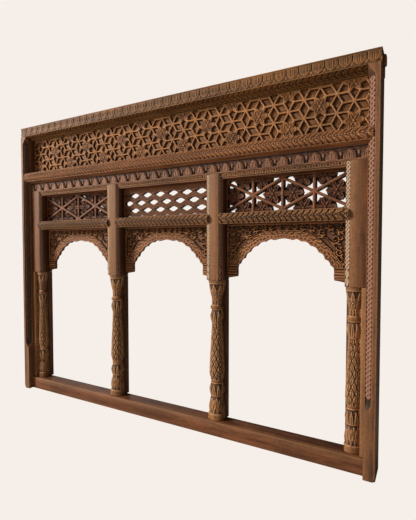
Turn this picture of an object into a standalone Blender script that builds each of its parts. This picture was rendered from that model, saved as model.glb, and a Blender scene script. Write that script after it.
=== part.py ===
"""Carved wooden jharokha window: three scalloped arches between pillars, pierced screens above
them, a lattice frieze, torus and cornice mouldings, all held between two jambs on a plain sill.
Metres, +Z up, the carved front faces -Y, the base stands on Z = 0."""

import math

import bmesh
import bpy
from mathutils import Vector
from mathutils.geometry import delaunay_2d_cdt

# Overall sizes across the wall.
WIDTH = 1.75
JAMB_W = 0.0379
END_POST_W = 0.0700
MULLION_W = 0.0710
GAP = 0.0003

# Heights of the courses, from the floor up.
SILL_H = 0.0589
OPENING_H = 0.7903
TRANSOM_H = 0.0432
JALI_H = 0.1350
BEAD_H = 0.0210
LOTUS_H = 0.0481
TORUS_H = 0.0548
FRIEZE_H = 0.1677
CORNICE_H = 0.0625
CORNICE_FACE_H = 0.0455

# Depths, as Y of each front plane, from the torus nose back to the rear plane.
NOSE_Y = -0.0525
JAMB_Y = -0.0475
CORNICE_Y = -0.0435
TRANSOM_Y = -0.0275
SILL_Y = -0.0265
POST_Y = -0.0145
BEAD_Y = -0.0095
PANEL_Y = 0.0078
JALI_Y = 0.0265
ARCH_Y = 0.0345
BACK_Y = 0.0525
SILL_BACK = 0.0405

# Thickness of the arch boards and the net screen, of the two outer screens, and of the frieze.
BOARD_T = 0.016
JALI_T = 0.0255
PANEL_T = 0.026

# Braided chamfers along the jambs and the posts: width across the front, then depth back.
JAMB_CHAMFER = (0.0235, 0.0225)
POST_CHAMFER = (0.0160, 0.0060)
JAMB_STOP_TOP = 0.040
JAMB_STOP_LOW = 0.215
STOP_LEN = 0.035
FOOT_CUT = 0.007
HORN_LEN = 0.0085

# Pillars: (height, radius) up from the plinth, their axis plane, and the plane of the rear strip.
PILLAR_Y = 0.0105
STRIP_Y = 0.0345
PILLAR_BULGE = 0.80
END_PILLAR_SCALE = 0.80
END_STRIP = 0.0150
ABACUS_Z = 0.6258
PLINTH = (SILL_H, 0.0352)
PILLAR = ((0.0820, 0.0352), (0.0835, 0.0290), (0.1050, 0.0330), (0.1530, 0.0240), (0.1820, 0.0320),
          (0.2130, 0.0220), (0.2460, 0.0310), (0.3160, 0.0280), (0.4500, 0.0200), (0.4830, 0.0285),
          (0.5060, 0.0210), (0.5180, 0.0285), (0.5250, 0.0195), (0.5500, 0.0200), (0.5810, 0.0275),
          (0.6110, 0.0330), (ABACUS_Z, 0.0352))

# Frieze lattice of rhombs round six-petalled stars.
COLUMN_PITCH = 0.0563
ROW_PITCH = 0.0656
FRIEZE_TOP_NODE = 0.0049
RIB_W = 0.0072
POCKET_DEPTH = 0.0100
STAR_VALLEY = 0.0210
FRIEZE_BORDER = 0.0040

# Screens above the arches.
BAR_W = 0.0100
JALI_COLUMN = 0.1177
JALI_STEP = 0.0575
FLOWER_TIP = 0.0390
FLOWER_VALLEY = 0.0315
PETAL_HALF = 0.0100
NET_PITCH = 0.0705
NET_ROW = 0.0340
NET_PHASE = -0.0285
NET_FRAME = 0.0060
NET_HEAD = 0.0150

# Scalloped arches, as distance in from the pillar and height under the transom.
ARCH_SIDE = ((0.0080, 0.2130), (0.0430, 0.2070), (0.0445, 0.1900), (0.0435, 0.1760),
             (0.0460, 0.1610), (0.0560, 0.1540))
ARCH_CURVE = ((0.0560, 0.1540), (0.0760, 0.1330), (0.0980, 0.1080), (0.1270, 0.0850),
              (0.1620, 0.0690))
ARCH_CROWN = 0.0632
CROWN_STEP = 0.0340
CUSP = 0.0060
SCALLOP_STEPS = 3

# Rows of carving on the mouldings.
LOTUS_PITCH = 0.0570
CORNICE_PITCH = 0.0437
ROPE_PITCH = 0.0350
BEAD_PITCH = 0.0390

WOOD = (0.245, 0.120, 0.060)
WOOD_DARK = (0.130, 0.058, 0.030)
WOOD_GOLD = (0.310, 0.155, 0.065)
WOOD_GREY = (0.215, 0.125, 0.090)
WOOD_RED = (0.240, 0.090, 0.045)

SILL_Z = SILL_H
TRANSOM_Z = SILL_Z + OPENING_H
JALI_Z = TRANSOM_Z + TRANSOM_H
BEAD_Z = JALI_Z + JALI_H
LOTUS_Z = BEAD_Z + BEAD_H
TORUS_Z = LOTUS_Z + LOTUS_H
FRIEZE_Z = TORUS_Z + TORUS_H
CORNICE_Z = FRIEZE_Z + FRIEZE_H
TOP_Z = CORNICE_Z + CORNICE_H
FACE_Z = TOP_Z - CORNICE_FACE_H

INNER = WIDTH / 2 - JAMB_W
BAY_W = (2 * INNER - 2 * END_POST_W - 2 * MULLION_W) / 3
BAY_X = {"left": -(BAY_W + MULLION_W), "centre": 0.0, "right": BAY_W + MULLION_W}


def clear_scene():
    for obj in list(bpy.data.objects):
        bpy.data.objects.remove(obj, do_unlink=True)


def material(name, colour):
    made = bpy.data.materials.new(name)
    made.use_nodes = True
    shader = made.node_tree.nodes["Principled BSDF"]
    shader.inputs["Base Color"].default_value = (*colour, 1.0)
    shader.inputs["Roughness"].default_value = 0.62
    made.diffuse_color = (*colour, 1.0)
    return made


class Shell:
    """The faces of one piece, sewn into a closed mesh when it is finished."""

    def __init__(self):
        self.mesh = bmesh.new()

    def face(self, points):
        self.mesh.faces.new([self.mesh.verts.new(p) for p in points])

    def ring(self, first, second):
        count = len(first)
        for i in range(count):
            j = (i + 1) % count
            self.face([first[i], first[j], second[j], second[i]])

    def finish(self, name, colour):
        bmesh.ops.remove_doubles(self.mesh, verts=self.mesh.verts, dist=2e-6)
        bmesh.ops.recalc_face_normals(self.mesh, faces=self.mesh.faces)
        data = bpy.data.meshes.new(name)
        self.mesh.to_mesh(data)
        self.mesh.free()
        obj = bpy.data.objects.new(name, data)
        obj.data.materials.append(material(name + "_wood", colour))
        bpy.context.scene.collection.objects.link(obj)
        return obj


def inside(point, loop):
    found = False
    x, y = point
    for (ax, ay), (bx, by) in zip(loop, loop[1:] + loop[:1]):
        if (ay > y) != (by > y) and x < ax + (y - ay) * (bx - ax) / (by - ay):
            found = not found
    return found


def flat_fill(outer, holes):
    """Triangles that cover a flat outline and leave its holes open."""
    points = list(outer)
    loops = [list(range(len(outer)))]
    for hole in holes:
        loops.append(list(range(len(points), len(points) + len(hole))))
        points += list(hole)
    edges = [(a, b) for loop in loops for a, b in zip(loop, loop[1:] + loop[:1])]
    made, _, faces, origin, _, _ = delaunay_2d_cdt([Vector(p) for p in points], edges, [], 1, 1e-7)
    spots = [points[min(o)] if o else tuple(v) for v, o in zip(made, origin)]
    found = []
    for face in faces:
        corners = [spots[i] for i in face]
        middle = (sum(c[0] for c in corners) / 3, sum(c[1] for c in corners) / 3)
        if not any(inside(middle, hole) for hole in holes) and inside(middle, list(outer)):
            found.append(corners)
    return found


def shrunk(loop, share, centre=None):
    if centre is None:
        centre = (sum(p[0] for p in loop) / len(loop), sum(p[1] for p in loop) / len(loop))
    return [(centre[0] + (p[0] - centre[0]) * share, centre[1] + (p[1] - centre[1]) * share)
            for p in loop]


def carved(shell, outer, pits, holes, place):
    """A flat face with pits sunk in it. A pit is (loop, floor, depth); a floor of one point is
    the tip of a hollow pyramid, of two the line of a furrow. A depth under zero makes a boss."""
    for corners in flat_fill(outer, [pit[0] for pit in pits] + list(holes)):
        shell.face([place(u, v, 0.0) for u, v in corners])
    for loop, floor, depth in pits:
        rim = [place(u, v, 0.0) for u, v in loop]
        low = [place(u, v, depth) for u, v in floor]
        if len(low) == 1:
            for a, b in zip(rim, rim[1:] + rim[:1]):
                shell.face([a, b, low[0]])
        elif len(low) == 2:
            for i, end in ((0, 0), (1, 1), (2, 1), (3, 0)):
                shell.face([rim[i], rim[(i + 1) % 4], low[end]])
            for i in (1, 3):
                shell.face([rim[i], low[0], low[1]])
        else:
            shell.ring(rim, low)
            shell.face(low)


def board(name, outline, front, back, colour, pits=(), holes=()):
    """An upright board across Y whose outline, pits and through holes are given as (x, z)."""
    shell = Shell()
    carved(shell, outline, pits, holes, lambda u, v, d: (u, front + d, v))
    carved(shell, outline, (), holes, lambda u, v, d: (u, back, v))
    for loop in [outline] + list(holes):
        shell.ring([(u, front, v) for u, v in loop], [(u, back, v) for u, v in loop])
    return shell.finish(name, colour)


def split_at(section, rows, level):
    """The section with a corner added wherever an edge without carving crosses this depth."""
    found, carving = [], {}
    for i, a in enumerate(section):
        b = section[(i + 1) % len(section)]
        if i in rows:
            carving[len(found)] = rows[i]
        found.append(a)
        if i not in rows and (a[0] - level) * (b[0] - level) < 0:
            t = (level - a[0]) / (b[0] - a[0])
            found.append((level, a[1] + (b[1] - a[1]) * t))
    return found, carving


def moulding(name, section, reach, centre, colour, rows=None, ends=(), bend=None):
    """A moulding along X. section is a closed (y, z) loop, reach(y, z) half its length at that
    point, rows gives the pits on each of its edges, ends the bosses on its end faces, and bend
    the depth at which its ends change direction."""
    shell = Shell()
    rows = rows or {}
    if bend is not None:
        section, rows = split_at(section, rows, bend)
    for i, a in enumerate(section):
        b = section[(i + 1) % len(section)]
        run = math.hypot(b[0] - a[0], b[1] - a[1])
        step = ((b[0] - a[0]) / run, (b[1] - a[1]) / run)
        inward = (-step[1], step[0])
        outer = [(centre - reach(*a), 0.0), (centre + reach(*a), 0.0), (centre + reach(*b), run),
                 (centre - reach(*b), run)]

        def place(u, v, d, a=a, step=step, inward=inward):
            return (u, a[0] + step[0] * v + inward[0] * d, a[1] + step[1] * v + inward[1] * d)

        carved(shell, outer, rows.get(i, ()), (), place)
    for side in (-1, 1):
        def end(u, v, d, side=side):
            return (centre + side * (reach(u, v) - d), u, v)

        carved(shell, section, ends, (), end)
    return shell.finish(name, colour)


def lofted(name, stations, colour, top=None):
    """A post from plan outlines (x, y) at rising heights. top(y) bends its upper end."""
    shell = Shell()
    rings = []
    for index, (z, plan) in enumerate(stations):
        last = index == len(stations) - 1
        rings.append([(x, y, top(y) if last and top else z) for x, y in plan])
    for first, second in zip(rings, rings[1:]):
        shell.ring(first, second)
    for (_, plan), ring in ((stations[0], rings[0]), (stations[-1], rings[-1])):
        heights = {plan[i]: ring[i][2] for i in range(len(plan))}
        for corners in flat_fill(plan, ()):
            shell.face([(x, y, heights[(x, y)]) for x, y in corners])
    return shell.finish(name, colour)


def clipped(loop, box):
    """The part of a convex loop inside a box (x0, z0, x1, z1)."""
    limits = ((0, box[0], 1), (1, box[1], 1), (0, box[2], -1), (1, box[3], -1))
    for axis, limit, sign in limits:
        kept = []
        for a, b in zip(loop, loop[1:] + loop[:1]):
            in_a = (a[axis] - limit) * sign >= 0
            in_b = (b[axis] - limit) * sign >= 0
            if in_a:
                kept.append(a)
            if in_a != in_b:
                t = (limit - a[axis]) / (b[axis] - a[axis])
                kept.append((a[0] + (b[0] - a[0]) * t, a[1] + (b[1] - a[1]) * t))
        loop = kept
        if len(loop) < 3:
            return []
    return loop


def area(loop):
    return 0.5 * sum(a[0] * b[1] - b[0] * a[1] for a, b in zip(loop, loop[1:] + loop[:1]))


def inset(loop, by):
    """A convex loop with every side moved in by the same distance."""
    if area(loop) < 0:
        loop = loop[::-1]
    moved = []
    for a, b in zip(loop, loop[1:] + loop[:1]):
        run = math.hypot(b[0] - a[0], b[1] - a[1])
        n = (-(b[1] - a[1]) / run, (b[0] - a[0]) / run)
        moved.append(((a[0] + n[0] * by, a[1] + n[1] * by), (b[0] - a[0], b[1] - a[1])))
    found = []
    for (p, d), (q, e) in zip(moved[-1:] + moved[:-1], moved):
        cross = d[0] * e[1] - d[1] * e[0]
        if abs(cross) < 1e-12:
            found.append(q)
            continue
        t = ((q[0] - p[0]) * e[1] - (q[1] - p[1]) * e[0]) / cross
        found.append((p[0] + d[0] * t, p[1] + d[1] * t))
    return found


def tidy_loop(loop, least=0.0006):
    kept = []
    for point in loop:
        if not kept or math.dist(point, kept[-1]) > least:
            kept.append(point)
    while len(kept) > 2 and math.dist(kept[0], kept[-1]) <= least:
        kept.pop()
    return kept


def furrow(loop):
    """A hollow whose floor is a line along the longer diagonal, or a point if it isn't a rhomb."""
    if len(loop) != 4:
        return (loop, shrunk(loop, 0.0)[:1], POCKET_DEPTH)
    if math.dist(loop[0], loop[2]) < math.dist(loop[1], loop[3]):
        loop = loop[1:] + loop[:1]
    return (loop, shrunk([loop[0], loop[2]], 0.45), POCKET_DEPTH)


def frieze_node(column, row):
    down = (row + 0.5 * (column % 2)) * ROW_PITCH
    return (column * COLUMN_PITCH, CORNICE_Z - FRIEZE_TOP_NODE - down)


def has_star(column, row):
    return (column % 4 == 0 and row == 1) or (column % 4 == 2 and row in (0, 2))


def frieze_pits():
    """A hollow in every rhomb between two neighbouring lattice nodes."""
    box = (-INNER + FRIEZE_BORDER, FRIEZE_Z + 0.0015, INNER - FRIEZE_BORDER, CORNICE_Z - 0.0015)
    reach = int(INNER / COLUMN_PITCH) + 1
    third = (2 * COLUMN_PITCH / 3, 0.0)
    pits = []
    for column in range(-reach, reach + 1):
        for row in range(-1, 4):
            a = frieze_node(column, row)
            shift = row - 1 if column % 2 == 0 else row
            for next_column, next_row in ((column, row + 1), (column + 1, shift),
                                          (column + 1, shift + 1)):
                b = frieze_node(next_column, next_row)
                middle = ((a[0] + b[0]) / 2, (a[1] + b[1]) / 2)
                if next_column == column:
                    across = (third[0] / 2, 0.0)
                else:
                    slope = 1 if b[1] > a[1] else -1
                    across = (-slope * third[0] / 4, ROW_PITCH / 4)
                ends = []
                for end, other, star in ((a, b, has_star(column, row)),
                                         (b, a, has_star(next_column, next_row))):
                    t = STAR_VALLEY / math.dist(a, b) if star else 0.0
                    ends.append((end[0] + (other[0] - end[0]) * t, end[1] + (other[1] - end[1]) * t))
                rhomb = [ends[0], (middle[0] + across[0], middle[1] + across[1]), ends[1],
                         (middle[0] - across[0], middle[1] - across[1])]
                pocket = tidy_loop(clipped(inset(rhomb, RIB_W / 2), box), 0.002)
                if len(pocket) > 2 and abs(area(pocket)) > 4e-5:
                    pits.append(furrow(pocket))
    return pits


def frieze():
    x = INNER - GAP
    outline = [(-x, FRIEZE_Z + GAP), (x, FRIEZE_Z + GAP), (x, CORNICE_Z - GAP), (-x, CORNICE_Z - GAP)]
    board("frieze_panel", outline, PANEL_Y, PANEL_Y + PANEL_T, WOOD_GOLD, frieze_pits())


def corner_hole(corner, left, right, box):
    """The opening that a flower and the disc it is cut on leave at a corner of a triangle of bars."""
    centre = ((corner[0] + left[0] + right[0]) / 3, (corner[1] + left[1] + right[1]) / 3)
    ways = []
    for far in (left, right):
        run = math.dist(far, corner)
        ways.append(((far[0] - corner[0]) / run, (far[1] - corner[1]) / run, run))
    (ax, ay, a_run), (bx, by, b_run) = ways
    opening = abs(ax * by - ay * bx)
    tip_in = BAR_W / 2 / opening
    near = (corner[0] + (ax + bx) * tip_in, corner[1] + (ay + by) * tip_in)
    a_long, b_long = (run / 2 - PETAL_HALF - tip_in for run in (a_run, b_run))
    edges = [(near[0] + ax * a_long, near[1] + ay * a_long),
             (near[0] + bx * b_long, near[1] + by * b_long)]
    out = math.atan2(corner[1] - centre[1], corner[0] - centre[0])
    tip = (centre[0] + FLOWER_TIP * math.cos(out), centre[1] + FLOWER_TIP * math.sin(out))
    valleys = []
    for edge in edges:
        aim = math.atan2(edge[1] - centre[1], edge[0] - centre[0])
        turn = (aim - out + math.pi) % math.tau - math.pi
        valleys.append((centre[0] + FLOWER_VALLEY * math.cos(out + turn * 0.62),
                        centre[1] + FLOWER_VALLEY * math.sin(out + turn * 0.62)))
    loop = [near, edges[0], valleys[0], tip, valleys[1], edges[1]]
    if all(box[0] <= x <= box[2] and box[1] <= z <= box[3] for x, z in loop):
        return loop
    wedge = tidy_loop(clipped([near, edges[0], edges[1]], box), 0.0015)
    return wedge if len(wedge) > 2 and abs(area(wedge)) > 3e-5 else []


def side_jali(name, centre):
    half = BAY_W / 2 - GAP
    box = (centre - half + 0.004, JALI_Z + 0.003, centre + half - 0.004, BEAD_Z - 0.003)
    middle = (JALI_Z + BEAD_Z) / 2
    holes = []
    for strip in (-2, -1, 0, 1):
        odd, even = (strip + 1, strip) if strip % 2 == 0 else (strip, strip + 1)
        node = (centre + odd * JALI_COLUMN, middle)
        tops = [(centre + even * JALI_COLUMN, middle + s * JALI_STEP) for s in (1, -1)]
        full = [node, tops[0], tops[1]]
        for i in range(3):
            holes.append(corner_hole(full[i], full[i - 1], full[i - 2], box))
        for s, top in zip((1, -1), tops):
            far = (node[0], middle + s * 2 * JALI_STEP)
            holes.append(corner_hole(node, top, far, box))
            holes.append(corner_hole(top, node, far, box))
    outline = [(centre - half, JALI_Z + GAP), (centre + half, JALI_Z + GAP),
               (centre + half, BEAD_Z - GAP), (centre - half, BEAD_Z - GAP)]
    board(name, outline, JALI_Y, JALI_Y + JALI_T, WOOD_DARK, holes=[h for h in holes if h])


def centre_jali(name):
    half = BAY_W / 2 - GAP
    box = (-half + NET_FRAME, JALI_Z + 0.002, half - NET_FRAME, BEAD_Z - NET_HEAD)
    wide, high = NET_PITCH / 2 - 0.009, NET_ROW - 0.018
    shape = ((1.0, 0.0), (0.3, 0.85), (-0.3, 0.85), (-1.0, 0.0), (-0.3, -0.85), (0.3, -0.85))
    holes = []
    for row in range(-2, 3):
        z = (JALI_Z + BEAD_Z) / 2 + row * NET_ROW
        for k in range(-5, 6):
            x = NET_PHASE + (k + 0.5 * (row % 2 == 0)) * NET_PITCH
            loop = [(x + wide * u, z + high * v) for u, v in shape]
            hole = tidy_loop(clipped(loop, box), 0.0015)
            if len(hole) > 2 and abs(area(hole)) > 6e-5:
                holes.append(hole)
    outline = [(-half, JALI_Z + GAP), (half, JALI_Z + GAP), (half, BEAD_Z - GAP), (-half, BEAD_Z - GAP)]
    board(name, outline, JALI_Y, JALI_Y + BOARD_T, WOOD_DARK, holes=holes)


def scalloped(points):
    """The curve with a shallow hollow between each two of its points, cusps at the points."""
    found = []
    for a, b in zip(points, points[1:]):
        run = math.hypot(b[0] - a[0], b[1] - a[1])
        n = (-(b[1] - a[1]) / run, (b[0] - a[0]) / run)
        for i in range(SCALLOP_STEPS):
            t = i / SCALLOP_STEPS
            rise = CUSP * math.sin(math.pi * t) * min(1.0, run / 0.035)
            found.append((a[0] + (b[0] - a[0]) * t + n[0] * rise,
                          a[1] + (b[1] - a[1]) * t + n[1] * rise))
    found.append(points[-1])
    return found


def arch(name, centre):
    half = BAY_W / 2 - GAP
    top = TRANSOM_Z - GAP
    left = [(centre - half, top - ARCH_SIDE[0][1] + 0.006)]
    left += [(centre - half + u, top - v) for u, v in ARCH_SIDE[:-1]]
    right = [(2 * centre - x, z) for x, z in left[::-1]]
    curve = [(centre - half + u, top - v) for u, v in ARCH_CURVE]
    low_crown = (centre - half + ARCH_CURVE[-1][0] + CROWN_STEP, top - ARCH_CROWN)
    mirrored = [(2 * centre - x, z) for x, z in (curve + [low_crown])[::-1]]
    under = scalloped(curve + [low_crown] + mirrored)
    outline = left + under + right + [(centre + half, top), (centre - half, top)]
    pits = []
    for side in (-1, 1):
        for u, v, r in ((0.040, 0.060, 0.016), (0.038, 0.105, 0.013), (0.085, 0.035, 0.012),
                        (0.122, 0.026, 0.009)):
            x, z = centre + side * (half - u), top - v
            ring = [(x + r * math.cos(t * math.tau / 5), z + r * math.sin(t * math.tau / 5))
                    for t in range(5)]
            pits.append((ring, [(x, z)], 0.0045))
    board(name, outline, ARCH_Y, ARCH_Y + BOARD_T, WOOD_DARK, pits)


def moulding_row(pitch, half, centre, shape):
    """Copies of a small pit shape, spaced evenly along a moulding between -half and half."""
    count = int(2 * half / pitch)
    return [shape(centre + (i - (count - 1) / 2) * pitch) for i in range(count)]


def slit(u, v0, v1, wide, lean, depth):
    middle, tall = (v0 + v1) / 2, (v1 - v0) / 2
    loop = [(u - wide - lean, middle), (u - lean / 2, middle - tall), (u + wide + lean, middle),
            (u + lean / 2, middle + tall)]
    return (loop, [(u, middle)], depth)


def mouldings():
    full = WIDTH / 2 + 0.002
    inner = INNER - GAP
    shelf = [(CORNICE_Y, TOP_Z), (CORNICE_Y, FACE_Z), (PANEL_Y, CORNICE_Z), (BACK_Y, CORNICE_Z),
             (BACK_Y, TOP_Z)]
    face = CORNICE_FACE_H
    petals = moulding_row(CORNICE_PITCH, full - 0.03, 0.0,
                          lambda u: slit(u, 0.10 * face, 0.80 * face, 0.0035, 0.0, 0.006))
    horn = [(-0.0125, TOP_Z - 0.0425), (0.018, TOP_Z - 0.0425), (0.018, TOP_Z - 0.0085),
            (-0.0125, TOP_Z - 0.0085)]
    horns = [(horn, shrunk(horn, 0.9), -HORN_LEN)]
    moulding("cornice", shelf, lambda y, z: full, 0.0, WOOD, {0: petals}, horns)

    low, high = TORUS_Z + GAP, FRIEZE_Z - GAP
    round_ = [(PANEL_Y, high), (-0.0165, high), (-0.0385, high - 0.006), (NOSE_Y + 0.003, high - 0.018),
              (NOSE_Y, high - 0.028), (NOSE_Y + 0.005, high - 0.039), (-0.0355, high - 0.049),
              (POST_Y, low), (PANEL_Y + PANEL_T, low), (PANEL_Y + PANEL_T, high)]
    slope = JAMB_CHAMFER[0] / JAMB_CHAMFER[1]
    start = JAMB_Y + JAMB_CHAMFER[1]

    def torus_reach(y, z):
        return inner + min(max(0.0, start - y), JAMB_CHAMFER[1]) * slope * 0.78

    upper = moulding_row(ROPE_PITCH, inner - 0.01, 0.0,
                         lambda u: slit(u, 0.001, 0.0115, 0.005, 0.005, 0.003))
    moulding("torus", round_, torus_reach, 0.0, WOOD_GOLD, {2: upper}, bend=start)

    low, high = LOTUS_Z + GAP, TORUS_Z - GAP
    beam = [(POST_Y, high), (POST_Y, low), (BACK_Y, low), (BACK_Y, high)]
    tall = high - low

    def bud(u):
        loop = [(u - 0.017, tall * 0.55), (u, tall * 0.10), (u + 0.017, tall * 0.55),
                (u + 0.014, tall * 0.90), (u - 0.014, tall * 0.90)]
        return (loop, [(u, tall * 0.60)], 0.007)

    buds = moulding_row(LOTUS_PITCH, inner - 0.005, 0.0, bud)
    moulding("lotus_beam", beam, lambda y, z: inner, 0.0, WOOD_GREY, {0: buds})

    half = BAY_W / 2 - GAP
    edge = POST_Y + POST_CHAMFER[1]

    def rail_reach(y, z):
        return half + min(max(0.0, edge - y), POST_CHAMFER[1]) * 2.0

    for side, centre in BAY_X.items():
        low, high = BEAD_Z + GAP, LOTUS_Z - GAP
        rail = [(POST_Y + 0.003, high), (BEAD_Y, high - 0.010), (BEAD_Y + 0.002, low),
                (BACK_Y - 0.008, low), (BACK_Y - 0.008, high)]
        beads = moulding_row(BEAD_PITCH, half, centre,
                             lambda u: slit(u, 0.0015, 0.0095, 0.004, 0.0, 0.003))
        moulding("bead_rail_" + side, rail, rail_reach, centre, WOOD_GREY, {0: beads}, bend=edge)
        low, high = TRANSOM_Z + GAP, JALI_Z - GAP
        bar = [(JALI_Y, high), (-0.0105, high), (-0.0225, high - 0.009), (TRANSOM_Y, high - 0.0214),
               (-0.0225, high - 0.0335), (-0.0105, low), (BACK_Y - 0.008, low), (BACK_Y - 0.008, high)]
        upper = moulding_row(ROPE_PITCH, half - 0.004, centre,
                             lambda u: slit(u, 0.001, 0.012, 0.005, 0.004, 0.003))
        moulding("transom_" + side, bar, rail_reach, centre, WOOD_GREY, {2: upper}, bend=edge)


def pillar_arc(radius, middle, side):
    """Seven points round the front of a pillar, from its bay side to the other."""
    found = []
    for k in range(7):
        t = math.pi * (k / 6 - 0.5)
        found.append((middle + side * radius * math.sin(t),
                      PILLAR_Y - radius * PILLAR_BULGE * math.cos(t)))
    return found


def post(name, x0, x1, bay_sides, strip):
    """An upright of plain timber with braided chamfers above and a carved pillar below.
    strip is the width of plain face left beside the pillar, on the side away from the bay."""
    wide, deep = POST_CHAMFER
    both = strip == 0.0
    side = 1
    if bay_sides == "left":
        x0, x1, side = x1, x0, -1
    low_x, high_x = x0 + side * GAP, x1 - side * GAP
    plain_x = x1 - side * strip
    middle = (x0 + plain_x) / 2
    room = abs(plain_x - x0) / 2 - 0.0006
    edge = POST_Y + deep

    def outline(bay, front, far):
        near = [(low_x, BACK_Y), (low_x, STRIP_Y), (bay, STRIP_Y - 0.0008)]
        return near + front + far + [(high_x, BACK_Y)]

    def block():
        front = [(low_x, edge + 0.02), (low_x, edge), (low_x + side * wide, POST_Y), (middle, POST_Y)]
        if both:
            front += [(high_x - side * wide, POST_Y), (high_x, edge), (high_x, edge + 0.02)]
            return outline(low_x, front, [(high_x, STRIP_Y - 0.0008), (high_x, STRIP_Y)])
        front += [(plain_x - side * 0.004, POST_Y), (plain_x - side * 0.002, POST_Y), (plain_x, POST_Y)]
        return outline(low_x, front, [(high_x - side * 0.001, POST_Y), (high_x, POST_Y)])

    def shaft(radius):
        radius = min(radius * (1.0 if both else END_PILLAR_SCALE), room)
        front = pillar_arc(radius, middle, side)
        bay = front[0][0]
        if both:
            far = front[-1][0]
            return outline(bay, front, [(far, STRIP_Y - 0.0008), (high_x, STRIP_Y)])
        front[-1] = (plain_x, PILLAR_Y - 0.004)
        return outline(bay, front, [(plain_x, POST_Y), (high_x, POST_Y)])

    stations = [(PLINTH[0] + GAP, shaft(PLINTH[1]))]
    stations += [(z, shaft(radius)) for z, radius in PILLAR]
    stations += [(ABACUS_Z + 0.0008, block()), (LOTUS_Z - GAP, block())]
    lofted(name, stations, WOOD)


def jamb(name, side):
    out, into = side * WIDTH / 2, side * INNER
    wide, deep = JAMB_CHAMFER

    def plan(cut_x, cut_y, foot=0.0):
        return [(into, BACK_Y), (into, PANEL_Y), (into, JAMB_Y + cut_y), (into + side * cut_x, JAMB_Y),
                (out - side * foot, JAMB_Y), (out, JAMB_Y + max(foot, 0.0008)), (out, PANEL_Y),
                (out, BACK_Y)]

    top = FACE_Z - GAP
    stations = [(0.0, plan(0.002, 0.002, FOOT_CUT)), (2 * FOOT_CUT, plan(0.002, 0.002, 0.0008)),
                (JAMB_STOP_LOW, plan(0.002, 0.002, 0.0008)),
                (JAMB_STOP_LOW + STOP_LEN, plan(wide, deep, 0.0008)),
                (top - JAMB_STOP_TOP, plan(wide, deep, 0.0008)), (top - 0.004, plan(0.002, 0.002, 0.0008)),
                (top, plan(0.002, 0.002, 0.0008))]

    def scribed(y):
        run = (y - CORNICE_Y) / (PANEL_Y - CORNICE_Y)
        return top - min(max(run, 0.0), 1.0) * (FACE_Z - CORNICE_Z)

    lofted(name, stations[:-1], WOOD, scribed)


def sill():
    x = INNER - GAP
    section = [(SILL_Y, SILL_H - GAP), (SILL_Y, 0.003), (SILL_Y + 0.003, 0.0), (SILL_BACK, 0.0),
               (SILL_BACK, SILL_H - GAP)]
    moulding("sill", section, lambda y, z: x, 0.0, WOOD_RED)


def main():
    clear_scene()
    sill()
    jamb("jamb_left", -1)
    jamb("jamb_right", 1)
    first = INNER - END_POST_W
    post("post_left", -INNER, -first, "left", END_STRIP)
    post("post_right", first, INNER, "right", END_STRIP)
    second = BAY_W / 2
    post("mullion_left", -second - MULLION_W, -second, "both", 0.0)
    post("mullion_right", second, second + MULLION_W, "both", 0.0)
    mouldings()
    frieze()
    side_jali("jali_left", BAY_X["left"])
    side_jali("jali_right", BAY_X["right"])
    centre_jali("jali_centre")
    for side, centre in BAY_X.items():
        arch("arch_" + side, centre)


main()
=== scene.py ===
# %% [markdown]
# A jharokha window front from an old carved house: three scalloped arches between turned pillars,
# pierced screens over them, a band of lotus petals, a fat rounded moulding, a lattice frieze and a
# cornice, all of one brown timber. The plain solids of the part come first, as a fixed frame, and
# every carved piece below takes the place of one of them.

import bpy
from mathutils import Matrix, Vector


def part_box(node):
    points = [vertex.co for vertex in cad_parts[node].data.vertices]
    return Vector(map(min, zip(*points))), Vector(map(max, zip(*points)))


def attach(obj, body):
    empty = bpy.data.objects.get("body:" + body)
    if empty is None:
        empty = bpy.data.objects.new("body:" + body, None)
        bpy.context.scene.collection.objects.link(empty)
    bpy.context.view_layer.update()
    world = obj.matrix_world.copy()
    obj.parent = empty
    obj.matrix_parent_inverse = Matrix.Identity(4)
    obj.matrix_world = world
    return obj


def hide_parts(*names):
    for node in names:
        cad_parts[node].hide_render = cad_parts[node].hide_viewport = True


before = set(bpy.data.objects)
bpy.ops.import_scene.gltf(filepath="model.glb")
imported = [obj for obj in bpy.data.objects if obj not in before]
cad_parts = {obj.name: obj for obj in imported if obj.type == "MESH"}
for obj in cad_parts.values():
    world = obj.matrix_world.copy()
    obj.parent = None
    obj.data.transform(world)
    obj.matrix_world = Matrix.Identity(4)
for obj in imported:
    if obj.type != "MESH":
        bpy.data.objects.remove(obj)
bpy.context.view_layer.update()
print("solids in the frame:", len(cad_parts))

# %% Tools of the lesson
import math

import bmesh
import bpy
import numpy as np
from mathutils import Vector

scene = bpy.context.scene
scene.view_settings.view_transform = "Standard"

# %% [markdown]
# The camera stands where the photographer stood: to the right of the window, a little above its
# middle, turned 29 degrees to the left. A wide lens close by gives the strong narrowing of the
# moulded rows towards the left.

# %% Camera
camera = bpy.data.objects.new("camera", bpy.data.cameras.new("camera"))
camera.data.sensor_width = 36.0
camera.data.lens = 27.0
camera.location = (1.007, -1.3805, 0.764)
camera.rotation_euler = (math.radians(87.92), 0.0, math.radians(29.27))
scene.collection.objects.link(camera)
scene.camera = camera
print("camera at", [round(v, 3) for v in camera.location])

# %% [markdown]
# Light: one large soft lamp stands far to the left and rakes across the front, so that faces
# turned to the right stay dark, as they do on the real window. A weak one in front lifts the
# carving and another shows the back. The pale room looks brighter to the lens than it shines,
# which keeps the shadows deep.

# %% Lamps, room and floor


def linear(code):
    """A colour written as six hex digits, as the shader wants it."""
    parts = [int(code[i:i + 2], 16) / 255 for i in (0, 2, 4)]
    return tuple(((c + 0.055) / 1.055) ** 2.4 if c > 0.04045 else c / 12.92 for c in parts)


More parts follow.
